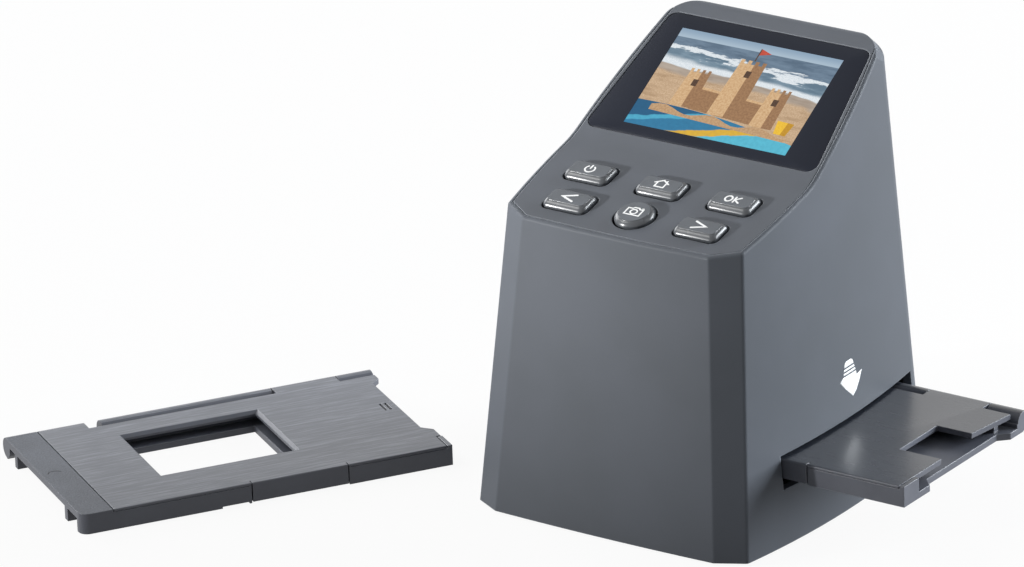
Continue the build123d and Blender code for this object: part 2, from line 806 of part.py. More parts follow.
sensor_low = camera_top - sensor_thickness
with BuildPart() as image_sensor:
    with Locations((0, axis_y, sensor_low)):
        Box(sensor_side, sensor_side, sensor_thickness, align=(Align.CENTER, Align.CENTER, Align.MIN))
image_sensor.part.label = "image_sensor"

with BuildPart() as ir_filter:
    with Locations((0, axis_y, sensor_low - filter_thickness)):
        Box(filter_side, filter_side, filter_thickness, align=(Align.CENTER, Align.CENTER, Align.MIN))
ir_filter.part.label = "ir_filter"

with BuildPart() as sensor_board:
    slab(camera_x, camera_y, (camera_top, sensor_board_top))
    for place_x, place_y in sensor_screws:
        peg((place_x, place_y, camera_top - 1), small_screw_radius + screw_slack, board_thickness + 2, Mode.SUBTRACT)
sensor_board.part.label = "sensor_board"

# ------------------------------------------------------------------ main board and its parts
with BuildPart() as main_board:
    with BuildSketch(main_board_plane):
        with BuildLine():
            Polyline(
                (main_board_front, main_board_low),
                (board_end, main_board_low),
                (board_end, main_board_high),
                (main_board_step, main_board_high),
                (main_board_step, main_board_mid),
                (main_board_front, main_board_mid),
                close=True,
            )
        make_face()
        with Locations(*main_posts):
            Circle(small_screw_radius + screw_slack, mode=Mode.SUBTRACT)
    extrude(amount=board_thickness)
main_board.part.label = "main_board"

socket_y = (5.0, 15.0)
socket_z = (65.0, 68.6)
socket_depth = 2.6
lead_x = (light_x[0] + fit_gap, light_x[0] + fit_gap + lead_width)
lead_socket_y = (board_end - 3.6, board_end - 0.6)
lead_socket_z = (31.5, 35.5)
with BuildPart() as board_components:
    # processor, memory and crystal, the two sockets, then a row of small parts
    slab((main_board_face, main_board_face + 1.3), (6.0, 17.0), (50.0, 61.0))
    slab((main_board_face, main_board_face + 1.0), (-4.0, 2.5), (48.0, 58.0))
    slab((main_board_face, main_board_face + 1.6), (-5.0, -1.5), (40.0, 43.0))
    slab((main_board_face, main_board_face + socket_depth), socket_y, socket_z)
    slab((main_board_face, lead_x[1] + 0.6), lead_socket_y, lead_socket_z)
    for column in range(4):
        low = 8.0 + 5.0 * column
        slab((main_board_face, main_board_face + 0.8), (low, low + 2.0), (40.0, 41.2))
board_components.part.label = "board_components"

# The sockets for the card and the cable are open towards the back wall.
with BuildPart() as card_slot:
    thick, deep, tall = card_slot_size
    card_x_span = (main_board_face, main_board_face + thick)
    card_z_span = (card_slot_middle - tall / 2, card_slot_middle + tall / 2)
    slab(card_x_span, (board_end - deep, board_end), card_z_span)
    slab(
        (card_x_span[0] + connector_wall, card_x_span[1] - connector_wall),
        (board_end - deep + 2 * connector_wall, board_end + 1),
        (card_z_span[0] + 2 * connector_wall, card_z_span[1] - 2 * connector_wall),
        mode=Mode.SUBTRACT,
    )
card_slot.part.label = "card_slot"

with BuildPart() as usb_port:
    thick, deep, tall = usb_size
    usb_x_span = (main_board_face, main_board_face + thick)
    usb_z_span = (usb_middle - tall / 2, usb_middle + tall / 2)
    slab(usb_x_span, (board_end - deep, board_end), usb_z_span)
    slab(
        (usb_x_span[0] + connector_wall, usb_x_span[1] - connector_wall),
        (board_end - deep + 2 * connector_wall, board_end + 1),
        (usb_z_span[0] + connector_wall, usb_z_span[1] - connector_wall),
        mode=Mode.SUBTRACT,
    )
    slab(
        (usb_x - 0.5, usb_x + 0.5),
        (board_end - deep + connector_wall, board_end - 1.5),
        (usb_middle - 2.4, usb_middle + 2.4),
    )
usb_port.part.label = "usb_port"


# ------------------------------------------------------------------ screws
# Screws with their heads on the plane's upper side, shanks through it.
def small_screws(plane, places, length):
    with BuildPart() as screws:
        with Locations(plane):
            for place_x, place_y in places:
                peg((place_x, place_y, 0), small_head_radius, small_head_height)
                peg((place_x, place_y, -length), small_screw_radius, length)
                with Locations((place_x, place_y, small_head_height)):
                    Box(small_head_radius * 1.3, 0.4, 0.8, mode=Mode.SUBTRACT)
                    Box(0.4, small_head_radius * 1.3, 0.8, mode=Mode.SUBTRACT)
    return screws.part


def from_below(plane, drop):
    return Plane(origin=plane.from_local_coords((0, 0, -drop)), x_dir=plane.x_dir, z_dir=-plane.z_dir)


def flipped(places):
    return [(x, -y) for x, y in places]


with BuildPart() as board_screws:
    add(small_screws(from_below(key_deck, key_board_low), flipped(key_bosses), small_screw_length))
    add(small_screws(from_below(view_deck, frame_low), flipped(frame_bosses), small_screw_length))
    add(small_screws(main_board_plane.offset(board_thickness), main_posts, small_screw_length))
    add(small_screws(Plane.XY.offset(sensor_board_top), sensor_screws, small_screw_length))
board_screws.part.label = "board_screws"

with BuildPart() as guide_screws:
    add(small_screws(Plane.XY.offset(top_guide_top), guide_screw_places, guide_screw_length))
guide_screws.part.label = "guide_screws"


# ------------------------------------------------------------------ ribbons and lead
# A ribbon from a sloping board or panel: down from its underside, across to the main board, then
# down along the main board's face. It is laid out in the plane square to the deck's slope.
def slope_ribbon(deck, start, width, low, exit_x, end):
    skin = ribbon_thickness
    cross = low + 2.6
    plane = Plane(origin=deck.from_local_coords((0, start, 0)), x_dir=(1, 0, 0), z_dir=deck.y_dir)
    with BuildPart() as ribbon:
        with BuildSketch(plane):
            with BuildLine():
                Polyline(
                    (exit_x, low),
                    (exit_x + skin, low),
                    (exit_x + skin, cross),
                    (main_board_face + skin, cross + 1),
                    (main_board_face + skin, end),
                    (main_board_face, end),
                    (main_board_face, cross + 1 - skin),
                    (exit_x, cross - skin),
                    close=True,
                )
            make_face()
        extrude(amount=width)
    return ribbon.part


lcd_ribbon = slope_ribbon(view_deck, 9.4, 10.0, panel_low, -16.0, 22.6)
key_ribbon = slope_ribbon(key_deck, 21.0, 7.0, key_board_low, -20.0, 19.5)

socket_face = main_board_face + socket_depth
ribbon_level = (socket_z[0] + socket_z[1]) / 2
with BuildPart() as sensor_ribbon:
    with BuildSketch(Plane.XZ.offset(-socket_y[0] - 1)):
        with BuildLine():
            Polyline(
                (-12.0, sensor_board_top),
                (-17.0, sensor_board_top),
                (-21.0, ribbon_level),
                (socket_face, ribbon_level),
                (socket_face, ribbon_level + ribbon_thickness),
                (-20.8, ribbon_level + ribbon_thickness),
                (-16.8, sensor_board_top + ribbon_thickness),
                (-12.0, sensor_board_top + ribbon_thickness),
                close=True,
            )
        make_face()
    extrude(amount=-(socket_y[1] - socket_y[0] - 2))
sensor_ribbon.part.label = "sensor_ribbon"

lead_y = (lead_socket_y[0] + lead_socket_y[1]) / 2
with BuildPart() as led_lead:
    with BuildSketch(Plane.YZ.offset(lead_x[0])):
        with BuildLine():
            Polyline(
                (light_y[1] + 1, light_board_top),
                (lead_y, light_board_top),
                (lead_y, lead_socket_z[0]),
                (lead_y - ribbon_thickness, lead_socket_z[0]),
                (lead_y - ribbon_thickness, light_board_top + ribbon_thickness),
                (light_y[1] + 1, light_board_top + ribbon_thickness),
                close=True,
            )
        make_face()
    extrude(amount=lead_width)
led_lead.part.label = "led_lead"

# ------------------------------------------------------------------ trays
# Each tray is laid out on its own seat plane: u along its length, v across it, w up.
wall_top = tray_thickness - lid_rim - lid_gap
barrel_seat = tray_width - barrel_setback
lid_low = tray_thickness - lid_thickness
barrel_v = tray_width - barrel_radius
barrel_w = tray_thickness - barrel_radius
lid_start = end_bar + split
lid_far = barrel_seat - split
knuckle_a = (lid_start, lid_start + lid_knuckle_a)
knuckle_end = tray_length - end_knuckle
knuckle_b = (knuckle_end - split - lid_knuckle_b, knuckle_end - split)
lid_knuckles = (knuckle_a, knuckle_b)
base_knuckles = ((0, end_bar), (knuckle_a[1] + knuckle_hole, knuckle_b[0] - split), (knuckle_end, tray_length))
full = (0, tray_thickness)


def across(seat, u):
    return Plane(origin=seat.from_local_coords((u, barrel_v, barrel_w)), x_dir=seat.y_dir, z_dir=seat.x_dir)


def barrel(seat, u_span, radius, mode=Mode.ADD):
    with BuildSketch(across(seat, u_span[0])) as ring:
        Circle(radius)
    extrude(ring.sketch, amount=u_span[1] - u_span[0], mode=mode)


def pin_span(from_left):
    if from_left:
        return (0, tray_length - pin_setback)
    return (pin_setback, tray_length)


def end_outline(end, notch, depth):
    return [(end, notch[0] - depth), (end - depth, notch[0]), (end - depth, notch[1]), (end, notch[1] + depth)]


def tray_base(seat, pin_from_left):
    with BuildPart() as base:
        with BuildSketch(seat) as floor:
            with BuildLine():
                Polyline(
                    (floor_setback, 0),
                    (tray_length, 0),
                    *end_outline(tray_length, end_notch, end_notch_depth),
                    (tray_length, barrel_seat),
                    (floor_setback, barrel_seat),
                    close=True,
                )
            make_face()
        extrude(floor.sketch, amount=floor_thickness)
        with Locations(seat):
            slab((0, tray_length), (0, near_wall), (0, wall_top))
            slab((0, end_bar), (0, barrel_v), (tray_thickness - bar_thickness, tray_thickness))
            slab((0, end_bar), (0, near_lug), full)
            for rail in film_rails:
                slab((0, end_bar), rail, (0, tray_thickness - bar_thickness))
                slab((0, tray_length - end_notch_depth - 1), rail, (0, film_rail_height))
            slab((0, end_bar), (tray_width - far_lug, barrel_v), (0, barrel_w))
            slab((floor_setback, end_bar), (barrel_seat, barrel_v), (0, floor_thickness))
            for knuckle in base_knuckles[1:]:
                slab(knuckle, (barrel_seat, barrel_v), (0, barrel_w))
            slab((tray_length - end_post_width, tray_length), (0, end_post_length), full)
            slab(
                (latch_start - split / 2, latch_end + split / 2),
                (0, latch_thickness + split),
                full,
                mode=Mode.SUBTRACT,
            )
            slab(
                (latch_start - latch_wall, latch_end + latch_wall),
                (latch_thickness + split, latch_wall),
                (0, wall_top),
            )
            slab(finger_notch, (0, near_wall), (0, finger_notch_height), mode=Mode.SUBTRACT)
            slab(
                (window_u[0] + window_step, window_u[1] - window_step),
                (window_v[0] + window_step, window_v[1] - window_step),
                (-1, floor_thickness + 1),
                mode=Mode.SUBTRACT,
            )
        for knuckle in base_knuckles:
            barrel(seat, knuckle, barrel_radius)
        barrel(seat, pin_span(pin_from_left), hinge_pin_radius + pin_clearance, Mode.SUBTRACT)
        corner = seat.from_local_coords((0, 0, tray_thickness / 2))
        uprights = base.edges().filter_by(Axis.Z)
        fillet(uprights.sort_by_distance(corner)[0], radius=tray_corner)
    return base.part


def tray_lid(seat, pin_from_left, end_points, arrow):
    with BuildPart() as lid:
        with BuildSketch(seat.offset(lid_low)) as plate:
            with BuildLine():
                Polyline((lid_start, 0), *end_points, (lid_start, lid_far), close=True)
            make_face()
        extrude(plate.sketch, amount=lid_thickness)
        with Locations(seat):
            slab((0, tray_length), (0, lid_rim_width), (0, wall_top + lid_gap), mode=Mode.SUBTRACT)
            slab(window_u, window_v, (0, tray_thickness + 1), mode=Mode.SUBTRACT)
        top = lid.faces().sort_by(Axis.Z)[-1]
        chamfer(top.inner_wires()[0].edges(), length=window_step)
        near = seat.from_local_coords((tray_length / 2, 0, tray_thickness))
        top_edges = lid.faces().sort_by(Axis.Z)[-1].outer_wire().edges()
        fillet(top_edges.sort_by_distance(near)[0], radius=tray_edge_round)
        with Locations(seat):
            slab(
                (latch_start + split / 2, latch_end - split / 2),
                (0, latch_thickness),
                (latch_lift, tray_thickness - tray_edge_round),
            )
            for slit in (latch_start, latch_end):
                slab((slit - split / 2, slit + split / 2), (0, latch_slit), (0, tray_thickness + 1), Mode.SUBTRACT)
            for knuckle in lid_knuckles:
                slab(knuckle, (lid_far - 0.5, barrel_v), (lid_low, tray_thickness))
        for knuckle in lid_knuckles:
            barrel(seat, knuckle, barrel_radius)
        barrel(seat, pin_span(pin_from_left), hinge_pin_radius + pin_clearance, Mode.SUBTRACT)
        if arrow:
            half = 4.75
            with BuildSketch(seat.offset(tray_thickness)) as groove:
                with Locations((arrow_tip, arrow_middle)):
                    with BuildLine():
                        Polyline(
                            (0, 0),
                            (4.2, -half),
                            (4.2, -half / 2),
                            (6.2, -half / 2),
                            (6.2, half / 2),
                            (4.2, half / 2),
                            (4.2, half),
                            close=True,
                        )
                    make_face()
                offset(amount=-arrow_line, kind=Kind.INTERSECTION, mode=Mode.SUBTRACT)
                with Locations((arrow_tip + 7.1, arrow_middle), (arrow_tip + 8.5, arrow_middle)):
                    Rectangle(0.7, half)
            extrude(groove.sketch, amount=-arrow_depth, mode=Mode.SUBTRACT)
    return lid.part


def hinge_pin(seat, from_left):
    with BuildPart() as pin:
        span = pin_span(from_left)
        clear = pin_clearance
        barrel(seat, (span[0] + clear, span[1] - clear), hinge_pin_radius)
    return pin.part


slot_seat = Plane(origin=(tray_left, tray_near, tray_underside))
loose_seat = Plane(origin=(loose_left, loose_near, 0)).rotated((0, 0, loose_turn))
lid_end = tray_length - split
post_end = tray_length - end_post_width - split
post_side = end_post_length + split
speed_end = tray_length - speed_notch_depth
far_tongue = tray_length - far_tongue_setback
loose_end = [
    (post_end, 0),
    (post_end, post_side),
    (lid_end, post_side),
    *end_outline(lid_end, end_notch, end_notch_depth),
    (lid_end, lid_far),
]
slot_end = [
    (post_end, 0),
    (post_end, speed_notch[0]),
    (speed_end, speed_notch[0]),
    (speed_end, speed_notch[1]),
    (far_tongue, speed_notch[1]),
    (far_tongue + far_tongue_slant, lid_far),
]
inserted_tray_base = tray_base(slot_seat, True)
inserted_tray_lid = tray_lid(slot_seat, True, slot_end, False)
inserted_hinge_pin = hinge_pin(slot_seat, True)
loose_tray_base = tray_base(loose_seat, False)
loose_tray_lid = tray_lid(loose_seat, False, loose_end, True)
loose_hinge_pin = hinge_pin(loose_seat, False)

# ------------------------------------------------------------------ one file per piece
pieces = {
    "main_shell": main_shell.part,
    "top_deck": top_deck.part,
    "display_window": display_window.part,
    "lcd_panel": lcd_panel.part,
    "lcd_frame": lcd_frame.part,
    "power_button": power_button,
    "home_button": home_button,
    "ok_button": ok_button,
    "left_button": left_button,
    "capture_button": capture_button,
    "right_button": right_button,
    "key_board": key_board.part,
    "tact_switches": tact_switches.part,
    "base_plate": base_plate.part,
    "rubber_feet": rubber_feet.part,
    "case_screws": case_screws.part,
    "lower_guide": lower_guide.part,
    "guide_rails": guide_rails.part,
    "upper_guide": upper_guide.part,
    "detent_spring": detent_spring.part,
    "led_board": led_board.part,
    "leds": leds.part,
    "light_box": light_box.part,
    "diffuser": diffuser.part,
    "optics_housing": optics_housing.part,
    "lens_barrel": lens_barrel.part,
    "lens_elements": lens_elements.part,
    "image_sensor": image_sensor.part,
    "ir_filter": ir_filter.part,
    "sensor_board": sensor_board.part,
    "main_board": main_board.part,
    "board_components": board_components.part,
    "card_slot": card_slot.part,
    "usb_port": usb_port.part,
    "board_screws": board_screws.part,
    "guide_screws": guide_screws.part,
    "lcd_ribbon": lcd_ribbon,
    "key_ribbon": key_ribbon,
    "sensor_ribbon": sensor_ribbon.part,
    "led_lead": led_lead.part,
    "inserted_tray_base": inserted_tray_base,
    "inserted_tray_lid": inserted_tray_lid,
    "inserted_hinge_pin": inserted_hinge_pin,
    "loose_tray_base": loose_tray_base,
    "loose_tray_lid": loose_tray_lid,
    "loose_hinge_pin": loose_hinge_pin,
}
os.makedirs("parts", exist_ok=True)
for name, piece in pieces.items():
    piece.label = name
    export_step(piece, "parts/" + name + ".step")
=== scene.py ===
import json
from math import cos, hypot, pi, radians, sin, tan

import bmesh
import bpy
from mathutils import Matrix, Vector
from mathutils.bvhtree import BVHTree


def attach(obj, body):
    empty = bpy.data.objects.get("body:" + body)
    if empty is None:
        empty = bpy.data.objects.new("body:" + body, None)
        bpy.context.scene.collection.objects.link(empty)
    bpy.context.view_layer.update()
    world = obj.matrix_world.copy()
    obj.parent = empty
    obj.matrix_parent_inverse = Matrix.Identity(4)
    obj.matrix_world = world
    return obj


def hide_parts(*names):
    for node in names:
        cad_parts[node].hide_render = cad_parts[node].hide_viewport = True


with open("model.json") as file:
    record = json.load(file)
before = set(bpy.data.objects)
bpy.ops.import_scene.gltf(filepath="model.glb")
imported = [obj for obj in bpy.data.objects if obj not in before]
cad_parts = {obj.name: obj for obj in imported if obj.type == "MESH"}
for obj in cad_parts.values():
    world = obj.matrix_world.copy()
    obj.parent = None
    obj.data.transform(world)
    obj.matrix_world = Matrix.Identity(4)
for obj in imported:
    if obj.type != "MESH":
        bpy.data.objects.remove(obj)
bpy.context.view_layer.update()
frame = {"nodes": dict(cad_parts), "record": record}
nodes = frame["nodes"]
mm = 0.001
print("frame loaded,", len(nodes), "CAD nodes")

# where the decks and trays lie, in millimetres and degrees, as the CAD has them
keyDeck = {"origin": (0, -32.743, 78.8), "slope": 14.2}
viewDeck = {"origin": (0, 2.448, 87.705), "slope": 30.4}
looseTray = {"origin": (-116.0, -106.4, 0.0), "turn": 57.1}
slotTray = {"origin": (-24.8, -20.7, 17.6), "turn": 0.0}


def deckFrame(deck):
    a = radians(deck["slope"])
    turn = Matrix(((1, 0, 0), (0, cos(a), -sin(a)), (0, sin(a), cos(a)))).to_4x4()
    return Matrix.Translation(Vector(deck["origin"]) * mm) @ turn


def trayFrame(tray):
    return Matrix.Translation(Vector(tray["origin"]) * mm) @ Matrix.Rotation(radians(tray["turn"]), 4, "Z")


# short calls for the node work below
def addNode(tree, kind, **settings):
    node = tree.nodes.new(kind)
    for name, value in settings.items():
        setattr(node, name, value)
    return node


def feed(tree, socket, value):
    if isinstance(value, bpy.types.NodeSocket):
        tree.links.new(value, socket)
    else:
        socket.default_value = value


def calc(tree, operation, *values, clamp=False):
    node = addNode(tree, "ShaderNodeMath", operation=operation, use_clamp=clamp)
    for socket, value in zip(node.inputs, values):
        feed(tree, socket, value)
    return node.outputs[0]


def mixColour(tree, amount, first, second):
    node = addNode(tree, "ShaderNodeMix", data_type="RGBA", clamp_factor=True)
    feed(tree, node.inputs["Factor"], amount)
    feed(tree, node.inputs[6], first)
    feed(tree, node.inputs[7], second)
    return node.outputs[2]


def ramp(tree, value, low, high):
    node = addNode(tree, "ShaderNodeMapRange", interpolation_type="SMOOTHSTEP")
    feed(tree, node.inputs["Value"], value)
    node.inputs["From Min"].default_value = low
    node.inputs["From Max"].default_value = high
    return node.outputs["Result"]


def noise(tree, vector, scale, detail, rough):
    node = addNode(tree, "ShaderNodeTexNoise")
    feed(tree, node.inputs["Vector"], vector)
    feed(tree, node.inputs["Scale"], scale)
    node.inputs["Detail"].default_value = detail
    node.inputs["Roughness"].default_value = rough
    return node.outputs["Fac"]


# the linear colour, with alpha, of a colour written as a web page writes it
def rgb(hexText):
    parts = [int(hexText[i : i + 2], 16) / 255 for i in (0, 2, 4)]
    return tuple(p / 12.92 if p <= 0.04045 else ((p + 0.055) / 1.055) ** 2.4 for p in parts) + (1.0,)


def newGroup(name, inputs, outputs):
    group = bpy.data.node_groups.new(name, "ShaderNodeTree")
    for label, kind, value in inputs:
        socket = group.interface.new_socket(label, in_out="INPUT", socket_type=kind)
        socket.default_value = value
    for label, kind in outputs:
        group.interface.new_socket(label, in_out="OUTPUT", socket_type=kind)
    return group, addNode(group, "NodeGroupInput"), addNode(group, "NodeGroupOutput")


# fine moulded grain with a slow mottle: what every moulded face here has
def buildGrainGroup():
    group, given, out = newGroup(
        "Moulded Grain",
        [
            ("Colour", "NodeSocketColor", (0.1, 0.1, 0.1, 1)),
            ("Mottle Colour", "NodeSocketColor", (0.12, 0.12, 0.12, 1)),
            ("Grain Size", "NodeSocketFloat", 0.0002),
            ("Speckle", "NodeSocketFloat", 0.1),
            ("Mottle Size", "NodeSocketFloat", 0.02),
            ("Roughness", "NodeSocketFloat", 0.5),
            ("Roughness Spread", "NodeSocketFloat", 0.1),
        ],
        [("Colour", "NodeSocketColor"), ("Roughness", "NodeSocketFloat"), ("Height", "NodeSocketFloat")],
    )
    place = addNode(group, "ShaderNodeTexCoord").outputs["Object"]
    grain = noise(group, place, calc(group, "DIVIDE", 1.0, given.outputs["Grain Size"]), 2.0, 0.6)
    mottle = noise(group, place, calc(group, "DIVIDE", 1.0, given.outputs["Mottle Size"]), 3.0, 0.55)
    colours = given.outputs["Colour"], given.outputs["Mottle Colour"]
    tinted = mixColour(group, ramp(group, mottle, 0.3, 0.7), *colours)
    offset = calc(group, "SUBTRACT", grain, 0.5)
    gain = calc(group, "MULTIPLY_ADD", offset, given.outputs["Speckle"], 1.0)
    scaled = addNode(group, "ShaderNodeVectorMath", operation="SCALE")
    feed(group, scaled.inputs[0], tinted)
    feed(group, scaled.inputs["Scale"], gain)
    feed(group, out.inputs["Colour"], scaled.outputs[0])
    spread = calc(group, "MULTIPLY", calc(group, "SUBTRACT", mottle, 0.5), given.outputs["Roughness Spread"])
    feed(group, out.inputs["Roughness"], calc(group, "ADD", given.outputs["Roughness"], spread, clamp=True))
    feed(group, out.inputs["Height"], grain)
    return group


# long faint drawn lines, as on top of the trays: Angle turns them about the vertical
def buildStreakGroup():
    group, given, out = newGroup(
        "Drawn Streaks",
        [
            ("Colour", "NodeSocketColor", (0.1, 0.1, 0.1, 1)),
            ("Streak Colour", "NodeSocketColor", (0.2, 0.2, 0.2, 1)),
            ("Angle", "NodeSocketFloat", 0.0),
            ("Length", "NodeSocketFloat", 0.02),
            ("Width", "NodeSocketFloat", 0.0005),
            ("Amount", "NodeSocketFloat", 0.5),
            ("Roughness", "NodeSocketFloat", 0.4),
            ("Roughness Spread", "NodeSocketFloat", 0.2),
        ],
        [("Colour", "NodeSocketColor"), ("Roughness", "NodeSocketFloat"), ("Height", "NodeSocketFloat")],
    )
    turned = addNode(group, "ShaderNodeVectorRotate", rotation_type="Z_AXIS")
    feed(group, turned.inputs["Vector"], addNode(group, "ShaderNodeTexCoord").outputs["Object"])
    feed(group, turned.inputs["Angle"], calc(group, "MULTIPLY", given.outputs["Angle"], -1.0))
    across = calc(group, "DIVIDE", 1.0, given.outputs["Width"])
    scale = addNode(group, "ShaderNodeCombineXYZ")
    feed(group, scale.inputs["X"], calc(group, "DIVIDE", 1.0, given.outputs["Length"]))
    feed(group, scale.inputs["Y"], across)
    feed(group, scale.inputs["Z"], across)
    stretched = addNode(group, "ShaderNodeVectorMath", operation="MULTIPLY")
    feed(group, stretched.inputs[0], turned.outputs[0])
    feed(group, stretched.inputs[1], scale.outputs[0])
    lines = noise(group, stretched.outputs[0], 1.0, 4.0, 0.7)
    mask = ramp(group, lines, 0.42, 0.72)
    amount = calc(group, "MULTIPLY", mask, given.outputs["Amount"])
    colours = given.outputs["Colour"], given.outputs["Streak Colour"]
    feed(group, out.inputs["Colour"], mixColour(group, amount, *colours))
    spread = calc(group, "MULTIPLY", calc(group, "SUBTRACT", lines, 0.5), given.outputs["Roughness Spread"])
    feed(group, out.inputs["Roughness"], calc(group, "ADD", given.outputs["Roughness"], spread, clamp=True))
    feed(group, out.inputs["Height"], lines)
    return group


# rounded-off edges: a softened normal, and a mask along the edges that paints a highlight there
def buildEdgeHighlightGroup():
    group, given, out = newGroup(
        "Painted Edge Highlights",
        [("Radius", "NodeSocketFloat", 0.0004), ("Gain", "NodeSocketFloat", 6.0)],
        [("Mask", "NodeSocketFloat"), ("Normal", "NodeSocketVector")],
    )
    soft = addNode(group, "ShaderNodeBevel", samples=4)
    feed(group, soft.inputs["Radius"], given.outputs["Radius"])
    plain = addNode(group, "ShaderNodeNewGeometry").outputs["Normal"]
    dot = addNode(group, "ShaderNodeVectorMath", operation="DOT_PRODUCT")
    feed(group, dot.inputs[0], soft.outputs[0])
    feed(group, dot.inputs[1], plain)
    away = calc(group, "SUBTRACT", 1.0, dot.outputs["Value"])
    feed(group, out.inputs["Mask"], calc(group, "MULTIPLY", away, given.outputs["Gain"], clamp=True))
    feed(group, out.inputs["Normal"], soft.outputs[0])
    return group


grainGroup = buildGrainGroup()
streakGroup = buildStreakGroup()
edgeHighlightGroup = buildEdgeHighlightGroup()
print("shader groups built")


def placeGroup(tree, group, values):
    node = addNode(tree, "ShaderNodeGroup", node_tree=group)
    for name, value in values.items():
        feed(tree, node.inputs[name], value)
    return node


def startMaterial(name, settings):
    material = bpy.data.materials.new(name)
    material.use_nodes = True
    tree = material.node_tree
    shader = tree.nodes["Principled BSDF"]
    for socket, value in settings.items():
        shader.inputs[socket].default_value = value
    return material, tree, shader


def bumpInto(tree, shader, height, distance, strength=1.0, normal=None):
    bump = addNode(tree, "ShaderNodeBump")
    bump.inputs["Strength"].default_value = strength
    bump.inputs["Distance"].default_value = distance
    feed(tree, bump.inputs["Height"], height)
    if normal:
        feed(tree, bump.inputs["Normal"], normal)
    feed(tree, shader.inputs["Normal"], bump.outputs[0])


# painted highlight: a pale edge colour stands in for light caught on the rounded edges
edgeHighlightGain = 5.0  # how soon an edge reaches its full bright colour
trayLines = {"length": 0.012, "width": 0.00045, "spread": 0.22, "bump": 0.00002, "strength": 0.6}


# a moulded surface: grain, mottle and, if edge is given, soft edges with a painted highlight; sizes in metres
def mouldedMaterial(name, colour, mottle, grain=0.0002, speckle=0.12, mottleSize=0.02, roughness=0.5,
                    spread=0.08, bump=0.00001, edge=None, edgeHighlightColour=None, **settings):
    material, tree, shader = startMaterial(name, settings)
    group = placeGroup(tree, grainGroup, {
        "Colour": rgb(colour), "Mottle Colour": rgb(mottle), "Grain Size": grain, "Speckle": speckle,
        "Mottle Size": mottleSize, "Roughness": roughness, "Roughness Spread": spread,
    })
    tint, normal = group.outputs["Colour"], None
    # painted highlight: with edge given, a pale colour is mixed in along the edges
    if edge:
        edges = placeGroup(tree, edgeHighlightGroup, {"Radius": edge, "Gain": edgeHighlightGain})
        tint = mixColour(tree, edges.outputs["Mask"], tint, rgb(edgeHighlightColour))
        normal = edges.outputs["Normal"]
    feed(tree, shader.inputs["Base Color"], tint)
    feed(tree, shader.inputs["Roughness"], group.outputs["Roughness"])
    bumpInto(tree, shader, group.outputs["Height"], bump, normal=normal)
    return material


# the top of a tray, with lines drawn along it at the angle the tray lies at
def trayMaterial(name, colour, streak, angle, roughness, amount, **settings):
    material, tree, shader = startMaterial(name, settings)
    lines = placeGroup(tree, streakGroup, {
        "Colour": rgb(colour), "Streak Colour": rgb(streak), "Angle": radians(angle),
        "Length": trayLines["length"], "Width": trayLines["width"], "Amount": amount,
        "Roughness": roughness, "Roughness Spread": trayLines["spread"],
    })
    feed(tree, shader.inputs["Base Color"], lines.outputs["Colour"])
    feed(tree, shader.inputs["Roughness"], lines.outputs["Roughness"])
    bumpInto(tree, shader, lines.outputs["Height"], trayLines["bump"], trayLines["strength"])
    return material


